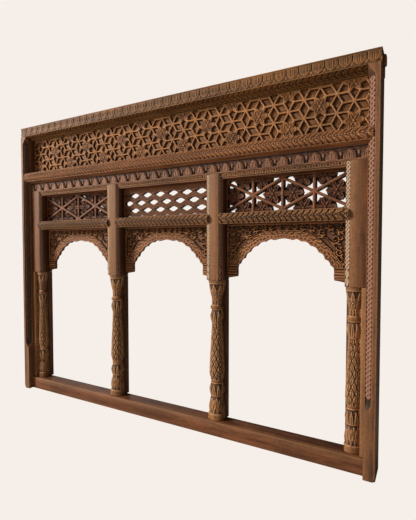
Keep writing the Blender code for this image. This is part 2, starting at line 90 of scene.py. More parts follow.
def soft_lamp(name, place, aim, size, power, tint=(1.0, 0.97, 0.93)):
    lamp = bpy.data.lights.new(name, "AREA")
    lamp.shape = "DISK"
    lamp.size = size
    lamp.energy = power
    lamp.color = tint
    holder = bpy.data.objects.new(name, lamp)
    holder.location = place
    holder.rotation_euler = (Vector(aim) - Vector(place)).to_track_quat("-Z", "Y").to_euler()
    scene.collection.objects.link(holder)


soft_lamp("key_lamp", (-7.4, -5.6, 4.4), (0.0, 0.0, 0.7), 2.8, 1400.0)
soft_lamp("front_lamp", (0.6, -6.0, 2.2), (0.0, 0.0, 0.7), 2.6, 36.0)
soft_lamp("back_lamp", (-3.6, 3.4, 2.4), (0.0, 0.0, 0.7), 1.6, 40.0)

CREAM = (*linear("F6EFE9"), 1.0)


def pale(tree, target, shine):
    """Cream to the lens and a weaker light to everything else."""
    path = tree.nodes.new("ShaderNodeLightPath")
    mix = tree.nodes.new("ShaderNodeMixShader")
    shown = tree.nodes.new("ShaderNodeEmission" if target.bl_idname == "ShaderNodeOutputMaterial"
                           else "ShaderNodeBackground")
    shown.inputs["Color"].default_value = CREAM
    tree.links.new(path.outputs["Is Camera Ray"], mix.inputs[0])
    tree.links.new(shine.outputs[0], mix.inputs[1])
    tree.links.new(shown.outputs[0], mix.inputs[2])
    tree.links.new(mix.outputs[0], target.inputs["Surface"])


room = bpy.data.worlds.new("pale_room")
room.use_nodes = True
scene.world = room
glow = room.node_tree.nodes["Background"]
glow.inputs["Color"].default_value = (1.0, 0.96, 0.92, 1.0)
glow.inputs["Strength"].default_value = 0.07
pale(room.node_tree, room.node_tree.nodes["World Output"], glow)

ground = bpy.data.meshes.new("floor")
reach = 14.0
ground.from_pydata([(-reach, -reach, -0.001), (reach, -reach, -0.001), (reach, reach, -0.001),
                    (-reach, reach, -0.001)], [], [(0, 1, 2, 3)])
floor = bpy.data.objects.new("floor", ground)
scene.collection.objects.link(floor)
floor_paint = bpy.data.materials.new("floor_paint")
floor_paint.use_nodes = True
matt = floor_paint.node_tree.nodes["Principled BSDF"]
matt.inputs["Base Color"].default_value = (0.62, 0.57, 0.52, 1.0)
matt.inputs["Roughness"].default_value = 0.9
pale(floor_paint.node_tree, floor_paint.node_tree.nodes["Material Output"], matt)
ground.materials.append(floor_paint)

# %% [markdown]
# Sizes that the carving shares with the solids. The rows are measured from the sill upwards, and
# depths are the Y of each front plane: the front of the window looks along -Y.

# %% Sizes
OUTER, INNER = 0.875, 0.8371
POST_W, MULLION_W = 0.0700, 0.0710
BAY_W = 0.4641
BAYS = {"left": -0.5351, "centre": 0.0, "right": 0.5351}
SILL_TOP = 0.0589
TRANSOM_LOW = 0.8492
SCREEN_TOP, SCREEN_H = 1.0274, 0.1350
LOTUS_LOW, LOTUS_TOP = 1.0484, 1.0965
FRIEZE_LOW, FRIEZE_TOP = 1.1513, 1.319
JAMB_TOP, CORNICE_TOP = 1.336, 1.3815
JAMB_Y, CORNICE_Y, POST_Y, PANEL_Y, ARCH_Y = -0.0475, -0.0435, -0.0145, 0.0078, 0.0345
JALI_Y, BACK_Y, SILL_Y, SILL_BACK = 0.0265, 0.0525, -0.0265, 0.0405
BOARD_T, JALI_T = 0.016, 0.0255
PANEL_BACK, RAIL_BACK = PANEL_Y + 0.026, 0.0445
GAP = 0.0003
box = {name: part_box(name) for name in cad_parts}
print("cornice box:", [round(v, 4) for corner in box["cornice"] for v in corner])

# %% [markdown]
# The timber: old hardwood, oiled and rubbed, with painted shade in the hollows and a pale colour on
# the crests that is partly dust, partly painted highlight. An image would be one way to colour it.
# Here each finish is nodes only: noise stretched along the grain gives streaks, a slow noise gives
# patches, and two numbers stored on the mesh, hollow and crest, tell the nodes where the carver's
# cuts go deep, to be painted dark as shade, and where hands wear the edges pale and the light
# catches them. Each finish is three browns from dark to light, the grain's way, and the pale colour
# on its crests.

# %% The timber finish


def wood(name, dark, middle, light, along="X", hollow_shade=0.85, dust_and_highlight="B98A68", rub_and_highlight=0.55, seed=0.0,
         rough=0.56):
    made = bpy.data.materials.new(name)
    made.use_nodes = True
    tree = made.node_tree
    shader = tree.nodes["Principled BSDF"]

    def node(kind, **settings):
        fresh = tree.nodes.new("ShaderNode" + kind)
        for key, value in settings.items():
            setattr(fresh, key, value)
        return fresh

    def join(a, b):
        tree.links.new(a, b)

    def noise(source, scale, detail, roughness=0.55, distortion=0.0):
        fresh = node("TexNoise")
        fresh.inputs["Scale"].default_value = scale
        fresh.inputs["Detail"].default_value = detail
        fresh.inputs["Roughness"].default_value = roughness
        fresh.inputs["Distortion"].default_value = distortion
        join(source, fresh.inputs["Vector"])
        return fresh.outputs["Fac"]

    def ramp(source, *stops):
        fresh = node("ValToRGB")
        marks = fresh.color_ramp.elements
        while len(marks) < len(stops):
            marks.new(0.5)
        for mark, (spot, colour) in zip(marks, stops):
            mark.position = spot
            mark.color = (*colour, 1.0)
        join(source, fresh.inputs["Fac"])
        return fresh.outputs["Color"]

    def blend(mode, share, first, second):
        fresh = node("Mix", data_type="RGBA", blend_type=mode)
        if isinstance(share, float):
            fresh.inputs[0].default_value = share
        else:
            join(share, fresh.inputs[0])
        for value, slot in ((first, fresh.inputs[6]), (second, fresh.inputs[7])):
            if isinstance(value, tuple):
                slot.default_value = (*value, 1.0)
            else:
                join(value, slot)
        return fresh.outputs[2]

    def times(a, b, clamp=True, mode="MULTIPLY"):
        fresh = node("Math", operation=mode, use_clamp=clamp)
        for value, slot in ((a, fresh.inputs[0]), (b, fresh.inputs[1])):
            if isinstance(value, float):
                slot.default_value = value
            else:
                join(value, slot)
        return fresh.outputs[0]

    here = node("TexCoord").outputs["Object"]
    lie = node("Mapping")
    lie.inputs["Location"].default_value = (seed, seed * 0.7, seed * 1.3)
    lie.inputs["Scale"].default_value = (0.9, 13.0, 13.0) if along == "X" else (13.0, 13.0, 0.9)
    join(here, lie.inputs["Vector"])
    streak = noise(lie.outputs["Vector"], 5.0, 8.0, 0.62, 0.5)
    pore = noise(lie.outputs["Vector"], 30.0, 4.0, 0.6)
    patch = noise(here, 4.5 + seed * 0.3, 3.0)
    speck = noise(here, 160.0, 4.0, 0.7)

    colour = ramp(streak, (0.30, linear(dark)), (0.50, linear(middle)), (0.72, linear(light)))
    colour = blend("MULTIPLY", 0.8, colour, ramp(patch, (0.32, (0.66, 0.62, 0.60)),
                                                  (0.66, (1.18, 1.14, 1.08))))
    colour = blend("MULTIPLY", 0.55, colour, ramp(pore, (0.36, (0.38, 0.33, 0.30)),
                                                  (0.50, (1.0, 1.0, 1.0))))
    colour = blend("MULTIPLY", 0.5, colour, ramp(speck, (0.30, (0.6, 0.56, 0.54)),
                                                 (0.62, (1.12, 1.1, 1.08))))

    # The crest mark mixes in a pale colour that is partly dust and worn edges, partly painted highlight.
    crest = node("Attribute", attribute_name="crest").outputs["Fac"]
    rubbed_and_lit = times(times(crest, times(speck, 1.7)), rub_and_highlight)
    colour = blend("MIX", rubbed_and_lit, colour, linear(dust_and_highlight))
    # Painted shade: the hollow mark darkens the colour nearly to black in the carved recesses.
    hollow = node("Attribute", attribute_name="hollow").outputs["Fac"]
    colour = blend("MIX", times(hollow, hollow_shade), colour, (0.010, 0.006, 0.004))
    join(colour, shader.inputs["Base Color"])

    shine = node("MapRange")
    shine.inputs["To Min"].default_value = rough - 0.12
    shine.inputs["To Max"].default_value = rough + 0.22
    join(pore, shine.inputs["Value"])
    join(shine.outputs["Result"], shader.inputs["Roughness"])
    shader.inputs["Specular IOR Level"].default_value = 0.26

    fine = times(times(pore, 0.5, False), times(speck, 0.5, False), False, "ADD")
    relief = times(times(streak, 0.8, False), fine, False, "ADD")
    bump = node("Bump")
    bump.inputs["Strength"].default_value = 0.55
    bump.inputs["Distance"].default_value = 0.0015
    join(relief, bump.inputs["Height"])
    join(bump.outputs["Normal"], shader.inputs["Normal"])
    return made


# In each finish the hollows are painted dark as shade, and the crests take a pale colour that is partly
# dust, partly painted highlight.
FINISH = {
    "cornice": wood("cornice_wood", "3E250E", "764A20", "946232", seed=1.0, dust_and_highlight="A87A42", hollow_shade=0.75),
    "frieze": wood("frieze_wood", "5A3412", "8C5A2C", "AE7640", seed=2.3, dust_and_highlight="CE9662", hollow_shade=0.8),
    "torus": wood("torus_wood", "61361A", "94603A", "B27A48", seed=3.1, dust_and_highlight="C88C5C", hollow_shade=0.75),
    "lotus": wood("lotus_wood", "502F1A", "7E5236", "98684A", seed=4.7, dust_and_highlight="B08468"),
    "rail": wood("rail_wood", "4C2C14", "805232", "9C6A44", seed=5.9, dust_and_highlight="B4885A"),
    "screen": wood("screen_wood", "3A1D10", "683C22", "855230", seed=6.2, dust_and_highlight="A87048", hollow_shade=0.95),
    # Near-black wood for the sunk discs behind the screen flowers: painted shadow in the cells of the
    # screens.
    "screen_shadow": wood("screen_floor_wood", "120804", "20110A", "301B10", seed=6.2, hollow_shade=0.95),
    "arch": wood("arch_wood", "54301A", "885632", "A87048", seed=7.4, dust_and_highlight="C48A58"),
    "post": wood("post_wood", "381E0E", "683C22", "865434", "Z", seed=8.8, dust_and_highlight="A87848"),
    "pillar": wood("pillar_wood", "583818", "90603A", "B07E50", "Z", seed=9.2, dust_and_highlight="D2A272"),
    "jamb": wood("jamb_wood", "3E2614", "6C4628", "885E3A", "Z", seed=9.6, dust_and_highlight="B8825C"),
    "braid": wood("braid_wood", "3A2012", "64402E", "80543E", "Z", seed=10.5, dust_and_highlight="A8785E", rub_and_highlight=0.8),
    # The pale and the dark braid finishes are lit and shaded copies of one braid finish: painted highlight
    # on braids facing the key lamp, painted shade on those facing away.
    "lit_braid": wood("pale_braid_wood", "4C321C", "80603E", "9C7E5A", "Z", seed=11.5, dust_and_highlight="C0A486",
                       rub_and_highlight=0.9),
    "shaded_braid": wood("dark_braid_wood", "241208", "40261A", "563624", "Z", seed=11.9, dust_and_highlight="6E4A34",
                       rub_and_highlight=0.5, hollow_shade=0.95),
    "sill": wood("sill_wood", "442210", "6C4024", "865436", seed=12.4, dust_and_highlight="A07248"),
}
print("finishes:", ", ".join(FINISH))

# %% [markdown]
# Carving as numbers: a relief is a height for every point of a fine net of faces. The helpers
# below make the net, and compare each height with the average around it. Points that stand proud
# of their surroundings become crest, lit pale as dust and painted highlight, and points that lie
# low become hollow, painted dark as shade.

# %% Helpers for reliefs


def ease(value):
    value = np.clip(value, 0.0, 1.0)
    return value * value * (3.0 - 2.0 * value)


def groove(distance, half):
    """1 on a cut's middle line, 0 from half its width outwards."""
    return np.clip(1.0 - np.abs(distance) / half, 0.0, 1.0)


def points_of(obj):
    """The points of an object's mesh, one row of x, y and z for each."""
    points = np.empty(len(obj.data.vertices) * 3)
    obj.data.vertices.foreach_get("co", points)
    return points.reshape(-1, 3)


def wrapped(value, pitch):
    """The way from the nearest whole pitch, from minus half a pitch to half a pitch."""
    return (value + pitch / 2) % pitch - pitch / 2


def net(rows, cols, wrap=False):
    """Quads of a net of points that is rows by cols, closed round its columns if wrap is set."""
    a = np.arange(rows - 1)[:, None] * cols
    b = np.arange(cols if wrap else cols - 1)[None, :]
    c = (b + 1) % cols
    return np.stack([a + b, a + c, a + cols + c, a + cols + b], axis=-1).reshape(-1, 4)


def blurred(height, size, wrap):
    """Each height's average over size neighbours each way. wrap holds the axes that close up."""
    found = height.copy()
    for axis in (0, 1):
        total = np.zeros_like(found)
        for shift in range(-size, size + 1):
            moved = np.roll(found, shift, axis)
            if axis not in wrap and shift:
                edge = [slice(None), slice(None)]
                edge[axis] = slice(0, shift) if shift > 0 else slice(shift, None)
                first = [slice(None), slice(None)]
                first[axis] = slice(0, 1) if shift > 0 else slice(-1, None)
                moved[tuple(edge)] = found[tuple(first)]
            total += moved
        found = total / (2 * size + 1)
    return found


def shade_and_wear_marks(height, size=2, wrap=(0,), deep=0.004, edge=0.0008):
    """(hollow, crest) of a net of heights: hollow is painted shade in the low places, crest a pale colour of
    dust and painted highlight on the proud ones.
    """
    apart = height - blurred(height, size, wrap)
    hollow = np.clip(-apart / (1.6 * edge), 0.0, 1.0) * 0.75 + np.clip(-height / deep, 0.0, 1.0) * 0.5
    return np.clip(hollow, 0.0, 1.0), np.clip(apart / edge, 0.0, 1.0)


def uneven(points, size=0.0004, seed=1.0):
    """Small slow swings that take the machine-made look off hand-cut work."""
    x, y, z = points[:, 0], points[:, 1], points[:, 2]
    swing = np.stack([np.sin(61.0 * z + 23.0 * x + seed) + np.sin(97.0 * x - 41.0 * z + 2.1 * seed),
                      np.sin(53.0 * x + 67.0 * z + 3.0 * seed) + np.sin(89.0 * z - 31.0 * x + seed),
                      np.sin(71.0 * x + 19.0 * y + 1.7 * seed) + np.sin(43.0 * z + 59.0 * x + seed)], axis=1)
    return points + swing * size * 0.5


def shape(name, points, faces, marks=None, material=None):
    """An object from points and faces, with the numbers that the finish reads."""
    mesh = bpy.data.meshes.new(name)
    mesh.from_pydata(np.asarray(points).tolist(), [], [list(map(int, f)) for f in faces])
    for label, values in (marks or {}).items():
        layer = mesh.attributes.new(label, "FLOAT", "POINT")
        layer.data.foreach_set("value", np.asarray(values, np.float32))
    if material:
        mesh.materials.append(material)
    obj = bpy.data.objects.new(name, mesh)
    scene.collection.objects.link(obj)
    return obj


print("a groove 2 mm wide, 0.5 mm from its middle:", groove(0.0005, 0.001))

# %% [markdown]
# What repeats, Geometry Nodes repeat. The first tree sets copies of one carved length in a
# straight row, the second in a field of columns and rows. Both end by making the copies real,
# sewing the points where two copies meet, and giving them their finish.

# %% Row and field trees


def new_tree(name, inputs):
    tree = bpy.data.node_groups.new(name, "GeometryNodeTree")
    face = tree.interface
    face.new_socket("Geometry", in_out="OUTPUT", socket_type="NodeSocketGeometry")
    face.new_socket("Geometry", in_out="INPUT", socket_type="NodeSocketGeometry")
    names = {}
    for label, kind in inputs:
        names[label] = face.new_socket(label, in_out="INPUT", socket_type="NodeSocket" + kind).identifier
    start = tree.nodes.new("NodeGroupInput")
    end = tree.nodes.new("NodeGroupOutput")
    return tree, names, start, end


def closing_nodes(tree, start, end, points):
    """Copies of the motif on the points, made real, sewn and finished."""
    motif = tree.nodes.new("GeometryNodeObjectInfo")
    tree.links.new(start.outputs["Motif"], motif.inputs["Object"])
    copies = tree.nodes.new("GeometryNodeInstanceOnPoints")
    tree.links.new(points, copies.inputs["Points"])
    tree.links.new(motif.outputs["Geometry"], copies.inputs["Instance"])
    real = tree.nodes.new("GeometryNodeRealizeInstances")
    tree.links.new(copies.outputs["Instances"], real.inputs["Geometry"])
    sewn = tree.nodes.new("GeometryNodeMergeByDistance")
    sewn.inputs["Distance"].default_value = 2e-5
    tree.links.new(real.outputs["Geometry"], sewn.inputs["Geometry"])
    paint = tree.nodes.new("GeometryNodeSetMaterial")
    tree.links.new(sewn.outputs["Geometry"], paint.inputs["Geometry"])
    tree.links.new(start.outputs["Finish"], paint.inputs["Material"])
    tree.links.new(paint.outputs["Geometry"], end.inputs[0])


def line_of(tree, start, count, step, first):
    line = tree.nodes.new("GeometryNodeMeshLine")
    line.mode = "OFFSET"
    tree.links.new(start.outputs[count], line.inputs["Count"])
    tree.links.new(start.outputs[step], line.inputs["Offset"])
    if first:
        tree.links.new(start.outputs[first], line.inputs["Start Location"])
    return line.outputs["Mesh"]


def row_tree():
    tree, names, start, end = new_tree("row_of_motifs", (("Motif", "Object"), ("Count", "Int"),
                                                         ("Step", "Vector"), ("First", "Vector"),
                                                         ("Finish", "Material")))
    closing_nodes(tree, start, end, line_of(tree, start, "Count", "Step", "First"))
    return tree, names


def field_tree():
    tree, names, start, end = new_tree("field_of_motifs", (("Motif", "Object"), ("Count", "Int"),
                                                           ("Step", "Vector"), ("First", "Vector"),
                                                           ("Rows", "Int"), ("Row step", "Vector"),
                                                           ("Finish", "Material")))
    columns = line_of(tree, start, "Count", "Step", "First")
    rows = line_of(tree, start, "Rows", "Row step", None)
    spread = tree.nodes.new("GeometryNodeInstanceOnPoints")
    tree.links.new(columns, spread.inputs["Points"])
    tree.links.new(rows, spread.inputs["Instance"])
    spots = tree.nodes.new("GeometryNodeRealizeInstances")
    tree.links.new(spread.outputs["Instances"], spots.inputs["Geometry"])
    closing_nodes(tree, start, end, spots.outputs["Geometry"])
    return tree, names


ROW, FIELD = row_tree(), field_tree()


def grown(name, tree_and_names, values):
    """The plain mesh that a tree makes with these values."""
    tree, names = tree_and_names
    obj = shape(name, np.zeros((0, 3)), [])
    maker = obj.modifiers.new("maker", "NODES")
    maker.node_group = tree
    for label, value in values.items():
        maker[names[label]] = value
    bpy.context.view_layer.update()
    seen = obj.evaluated_get(bpy.context.evaluated_depsgraph_get())
    mesh = bpy.data.meshes.new_from_object(seen)
    obj.modifiers.remove(maker)
    obj.data = mesh
    return obj


def row(name, motif, count, step, first, finish):
    return grown(name, ROW, {"Motif": motif, "Count": count, "Step": step, "First": first, "Finish": finish})


print("trees:", [tree.name for tree, _ in (ROW, FIELD)])

# %% [markdown]
# A finished piece is one closed mesh or several that are set into each other, smooth where the
# carver left a round and sharp at the arrises. It rides with the window and takes the place of
# its plain solid.

# %% Joining, clipping and handing over


def joined(name, objects):
    """One object with the meshes of all of them."""
    mesh = bmesh.new()
    slots = []
    for obj in objects:
        own = [m for m in obj.data.materials if m]
        before = len(mesh.faces)
        mesh.from_mesh(obj.data)
        mesh.faces.ensure_lookup_table()
        for face in mesh.faces[before:]:
            paint = own[min(face.material_index, len(own) - 1)] if own else None
            if paint not in slots:
                slots.append(paint)
            face.material_index = slots.index(paint)
    made = bpy.data.meshes.new(name)
    mesh.to_mesh(made)
    mesh.free()
    for paint in slots:
        made.materials.append(paint)
    for obj in objects:
        bpy.data.objects.remove(obj, do_unlink=True)
    fresh = bpy.data.objects.new(name, made)
    scene.collection.objects.link(fresh)
    return fresh


def closed(obj, sharp=38.0, low=None, high=None):
    """Cuts the mesh at a box, fills what is open, and turns every face outwards."""
    mesh = bmesh.new()
    mesh.from_mesh(obj.data)
    bmesh.ops.remove_doubles(mesh, verts=mesh.verts, dist=1e-6)
    for axis in range(3):
        for corner, sign in ((low, -1.0), (high, 1.0)):
            if corner is None or corner[axis] is None:
                continue
            spot, way = Vector((0, 0, 0)), Vector((0, 0, 0))
            spot[axis], way[axis] = corner[axis], sign
            bmesh.ops.bisect_plane(mesh, geom=mesh.verts[:] + mesh.edges[:] + mesh.faces[:], dist=1e-7,
                                   plane_co=spot, plane_no=way, clear_outer=True)
            rim = [e for e in mesh.edges if e.is_boundary]
            bmesh.ops.holes_fill(mesh, edges=rim, sides=0)
    rim = [e for e in mesh.edges if e.is_boundary]
    if rim:
        bmesh.ops.holes_fill(mesh, edges=rim, sides=0)
    bmesh.ops.triangulate(mesh, faces=[f for f in mesh.faces if len(f.verts) > 4])
    bmesh.ops.recalc_face_normals(mesh, faces=mesh.faces)
    mesh.to_mesh(obj.data)
    mesh.free()
    obj.data.shade_smooth()
    obj.data.set_sharp_from_angle(angle=math.radians(sharp))
    return obj


def handed_over(obj, node):
    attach(obj, "root")
    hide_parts(node)
    obj.data.calc_loop_triangles()
    print(obj.name, "triangles:", len(obj.data.loop_triangles))


print("joining tools ready")

# %% [markdown]
# A moulding is its section, carved along one pitch of the pattern. The section goes round the
# timber: many points down the carved front, and only corners at the back. The row tree then
# repeats that length, and the ends are stretched where the moulding laps over a chamfer.

# %% One pitch of a moulding, and the whole moulding


def rounded_path(points, cells):
    """Even points along a smooth curve through the given ones, with their outward normals."""
    p = np.array(points, float)
    ext = np.vstack([2 * p[0] - p[1], p, 2 * p[-1] - p[-2]])
    dense = []
    for i in range(1, len(ext) - 2):
        t = np.linspace(0.0, 1.0, 24, endpoint=False)[:, None]
        a, b, c, d = ext[i - 1], ext[i], ext[i + 1], ext[i + 2]
        dense.append(0.5 * (2 * b + (c - a) * t + (2 * a - 5 * b + 4 * c - d) * t ** 2
                            + (3 * b - a - 3 * c + d) * t ** 3))
    dense = np.vstack(dense + [p[-1:]])
    return even_path(dense, cells)


def even_path(dense, cells):
    """Even points along straight stretches, their outward normals and how far down each lies."""
    dense = np.array(dense, float)
    run = np.concatenate([[0.0], np.cumsum(np.linalg.norm(np.diff(dense, axis=0), axis=1))])
    down = np.linspace(0.0, run[-1], cells + 1)
    path = np.stack([np.interp(down, run, dense[:, k]) for k in (0, 1)], axis=1)
    way = np.gradient(path, axis=0)
    way /= np.linalg.norm(way, axis=1)[:, None]
    return path, np.stack([way[:, 1], -way[:, 0]], axis=1), down


def moulding_length(name, front, back, pitch, steps, relief):
    """One pitch. front is (path, normal, down) in (y, z), back holds the other corners."""
    path, normal, down = front
    across = np.linspace(-pitch / 2, pitch / 2, steps + 1)
    a, d = np.meshgrid(across, down, indexing="ij")
    height = relief(a, d)
    height[:, [0, -1]] = 0.0
    hollow, crest = shade_and_wear_marks(height)
    count = len(down) + len(back)
    points = np.zeros((steps + 1, count, 3))
    points[:, :, 0] = across[:, None]
    points[:, :len(down), 1] = path[:, 0] + normal[:, 0] * height
    points[:, :len(down), 2] = path[:, 1] + normal[:, 1] * height
    points[:, len(down):, 1:] = np.array(back)[None]
    marks = [np.zeros((steps + 1, count)) for _ in range(2)]
    for mark, values in zip(marks, (hollow, crest)):
        values[-1] = values[0]
        mark[:, :len(down)] = values
    faces = net(steps + 1, count, wrap=True)
    return shape(name, points.reshape(-1, 3), faces, {"hollow": marks[0].ravel(), "crest": marks[1].ravel()})


def moulding(node, front, back, pitch, cell, relief, finish, half, centre=0.0, lap=None, more=()):
    """A whole moulding, half to each side of its centre. lap gives how far its ends reach on."""
    count = max(1, round(2 * half / pitch))
    pitch = 2 * half / count
    tile = moulding_length(node + "_length", front, back, pitch, max(4, round(pitch / cell)),
                           lambda a, d: relief(a, d, pitch))
    obj = row(node + "_carved", tile, count, (pitch, 0, 0), (centre - half + pitch / 2, 0, 0), finish)
    bpy.data.objects.remove(tile, do_unlink=True)
    points = points_of(obj)
    if lap:
        inward = np.clip((np.abs(points[:, 0] - centre) - (half - 0.03)) / 0.03, 0.0, 1.0)
        points[:, 0] += np.sign(points[:, 0] - centre) * lap(points[:, 1]) * inward
    obj.data.vertices.foreach_set("co", points.ravel())
    closed(obj)
    if more:
        obj = joined(obj.name, [obj, *more])
    handed_over(obj, node)


print("moulding tools ready")

# %% [markdown]
# Motifs of the mouldings. The rounded ones carry rows of slanting leaves that meet on a string of
# beads. The cornice hangs with broad tongues cut by upright grooves, with a drilled dot between
# each two, and a worn stub stands out of each of its ends. The lotus band stands up in pointed
# petals with a bud between each two.

# %% Slanting leaves


def leaf_row(across, down, pitch, top, tall, lean):
    """Heights from 0 to 1 of a row of slanting leaves, each with a cut along its middle."""
    t = (down - top) / tall
    wide = np.sin(np.pi * np.clip(t, 0.0, 1.0)) ** 0.6 * 0.46 * pitch
    side = wrapped(across + lean * (t - 0.5) * tall, pitch)
    body = ease((1.0 - np.abs(side) / np.maximum(wide, 1e-5)) * 2.2) * (wide > 0.0006)
    return body * (1.0 - 0.45 * groove(side, 0.0016) * ease(t * 6.0) * ease((1.0 - t) * 6.0))


def bead_line(across, down, pitch, middle, radius):
    off = np.hypot(wrapped(across, pitch), down - middle) / radius
    return np.sqrt(np.clip(1.0 - off ** 2, 0.0, 1.0))


def torus_relief(across, down, pitch):
    upper = leaf_row(across, down, pitch / 2, 0.0440, 0.0215, 0.75)
    lower = leaf_row(across, down, pitch / 2, 0.0745, 0.0215, -0.75)
    beads = bead_line(across, down, pitch / 4, 0.0700, 0.0034)
    band = ease((down - 0.0420) * 900) * ease((0.0980 - down) * 900)
    height = -0.0032 * band * (1.0 - np.maximum(np.maximum(upper, lower), beads * 0.9))
    return height - 0.0016 * groove(down - 0.0385, 0.0014) - 0.0016 * groove(down - 0.1005, 0.0014)


def transom_relief(across, down, pitch):
    upper = leaf_row(across, down, pitch / 2, 0.0400, 0.0225, 0.5)
    lower = leaf_row(across, down, pitch / 2, 0.0685, 0.0210, -0.5)
    beads = bead_line(across, down, pitch / 4, 0.0655, 0.0031)
    band = ease((down - 0.0390) * 900) * ease((0.0900 - down) * 900)
    return -0.0040 * band * (1.0 - np.maximum(np.maximum(upper, lower), beads * 0.9))


def rail_relief(across, down, pitch):
    dots = ease((1.0 - np.hypot(across, down - 0.0070) / 0.0046) * 2.0)
    fan = groove(wrapped(np.abs(across) - np.abs(down - 0.0080) * 0.9, 0.0076), 0.0020)
    fan *= ease((np.abs(across) - 0.0052) * 900) * ease((down - 0.0020) * 900) * ease((0.0130 - down) * 900)
    step = ease((down - 0.0142) * 1200) - ease((down - 0.0175) * 1200)
    return -0.0046 * dots - 0.0030 * fan - 0.0020 * step


def torus_lap(y):
    """How far the torus reaches on at depth y, where its ends follow the jambs' chamfers."""
    return np.clip(-0.025 - y, 0.0, 0.0225) * 0.814632


TORUS_TOP, TORUS_LOW = FRIEZE_LOW - GAP, LOTUS_TOP + GAP
torus_front = rounded_path([(PANEL_Y, TORUS_TOP), (-0.0165, TORUS_TOP), (-0.0385, TORUS_TOP - 0.006),
                            (-0.0495, TORUS_TOP - 0.018), (-0.0525, TORUS_TOP - 0.028),
                            (-0.0475, TORUS_TOP - 0.039), (-0.0355, TORUS_TOP - 0.049),
                            (POST_Y, TORUS_LOW)], 96)
print("torus front is", round(float(torus_front[2][-1]) * 1000, 1), "mm round")
moulding("torus", torus_front, [(PANEL_BACK, TORUS_LOW), (PANEL_BACK, TORUS_TOP)], 0.0380, 0.0014,
         torus_relief, FINISH["torus"], INNER - GAP, lap=torus_lap)

# %% Transoms and bead rails of the three bays


def rail_lap(y):
    """How far a rail reaches on at depth y, where its ends lap over the posts' chamfers."""
    return np.clip(-0.0085 - y, 0.0, 0.006) * 2.0


for side, middle in BAYS.items():
    top, low = SCREEN_TOP - SCREEN_H - GAP, TRANSOM_LOW + GAP
    front = rounded_path([(JALI_Y, top), (-0.0105, top), (-0.0225, top - 0.009), (-0.0275, top - 0.0214),
                          (-0.0225, top - 0.0335), (-0.0105, low), (JALI_Y, low)], 92)
    moulding("transom_" + side, front, [(RAIL_BACK, low), (RAIL_BACK, top)], 0.0440, 0.0015,
             transom_relief, FINISH["rail"], BAY_W / 2 - GAP, middle, lap=rail_lap)
    top, low = LOTUS_LOW - GAP, SCREEN_TOP + GAP
    front = even_path([(POST_Y + 0.003, top), (-0.0095, top - 0.010), (-0.0075, low)], 22)
    moulding("bead_rail_" + side, front, [(RAIL_BACK, low), (RAIL_BACK, top)], 0.0390, 0.0012,
             rail_relief, FINISH["rail"], BAY_W / 2 - GAP, middle, lap=rail_lap)

# %% Cornice tongues, and the stub at each end of the cornice


def cornice_relief(across, down, pitch):
    half = 0.0206 * (1.0 - np.clip((down - 0.0210) / 0.0215, 0.0, 1.0) ** 2.3)
    inside = half - np.abs(across)
    petal = ease(inside / 0.0022)
    face = ease((down - 0.0062) * 600) * ease((0.0432 - down) * 900)
    height = -0.0024 * (1.0 - petal) * face
    height -= 0.0012 * groove(inside - 0.0046, 0.0014) * face * petal
    for line, low in ((0.0, 0.0350), (0.0066, 0.0310), (0.0106, 0.0260)):
        cut = groove(np.abs(across) - line, 0.0012) * ease((down - 0.0090) * 500)
        height -= 0.0021 * cut * ease((low - down) * 500)
    side = pitch / 2 - np.abs(across)
    bud = np.clip(1.0 - (side / 0.0050) ** 2 - ((down - 0.0335) / 0.0075) ** 2, 0.0, 1.0) ** 0.5
    height = np.maximum(height, -0.0024 + 0.0018 * bud * face)
    height -= 0.0034 * groove(np.hypot(side, down - 0.0400), 0.0030)
    height = np.minimum(height, 0.0) - 0.0010 * groove(down - 0.0048, 0.0012)
    upper = leaf_row(across, down, pitch / 2, 0.0480, 0.0180, 1.0)
    lower = leaf_row(across, down, pitch / 2, 0.0715, 0.0185, -1.0)
    beads = bead_line(across, down, pitch / 4, 0.0688, 0.0030)
    band = ease((down - 0.0470) * 900) * ease((0.0905 - down) * 900)
    height -= 0.0030 * band * (1.0 - np.maximum(np.maximum(upper, lower), beads))
    return height - 0.0045 * ease((down - 0.0915) * 900) * ease((0.0985 - down) * 1200)


def horn(side):
    """The worn stub that stands out of one end of the cornice: a rounded square, smaller at its tip."""
    rings, count = [], 12
    for out, share in ((0.8700, 1.0), (0.8820, 1.0), (0.8845, 0.94), (0.8855, 0.80)):
        ring = []
        for k in range(count):
            t = math.tau * (k + 0.5) / count
            c, d = math.cos(t), math.sin(t)
            size = (abs(c) ** 6 + abs(d) ** 6) ** (-1 / 6) * share
            ring.append((side * out, 0.00275 + 0.01525 * size * c, 1.3560 + 0.0170 * size * d))
        rings.append(ring)
    points = np.array(rings).reshape(-1, 3)
    faces = net(len(rings), count, wrap=True).tolist()
    faces += [list(range(count)), list(range(3 * count, 4 * count))]
    # Painted shade at the stub's root, and a pale crest colour of dust and painted highlight towards its
    # tip.
    marks = {"hollow": [0.3] * count + [0.1] * 3 * count, "crest": [0.0] * 2 * count + [0.9] * 2 * count}
    return closed(shape("horn", points, faces, marks, FINISH["cornice"]), 50.0)


cornice_front = even_path([(CORNICE_Y, CORNICE_TOP), (CORNICE_Y, JAMB_TOP), (PANEL_Y, FRIEZE_TOP)], 84)
moulding("cornice", cornice_front, [(BACK_Y, FRIEZE_TOP), (BACK_Y, CORNICE_TOP)], 0.0437, 0.0015,
         cornice_relief, FINISH["cornice"], 0.877, more=[horn(-1), horn(1)])

# %% Lotus band


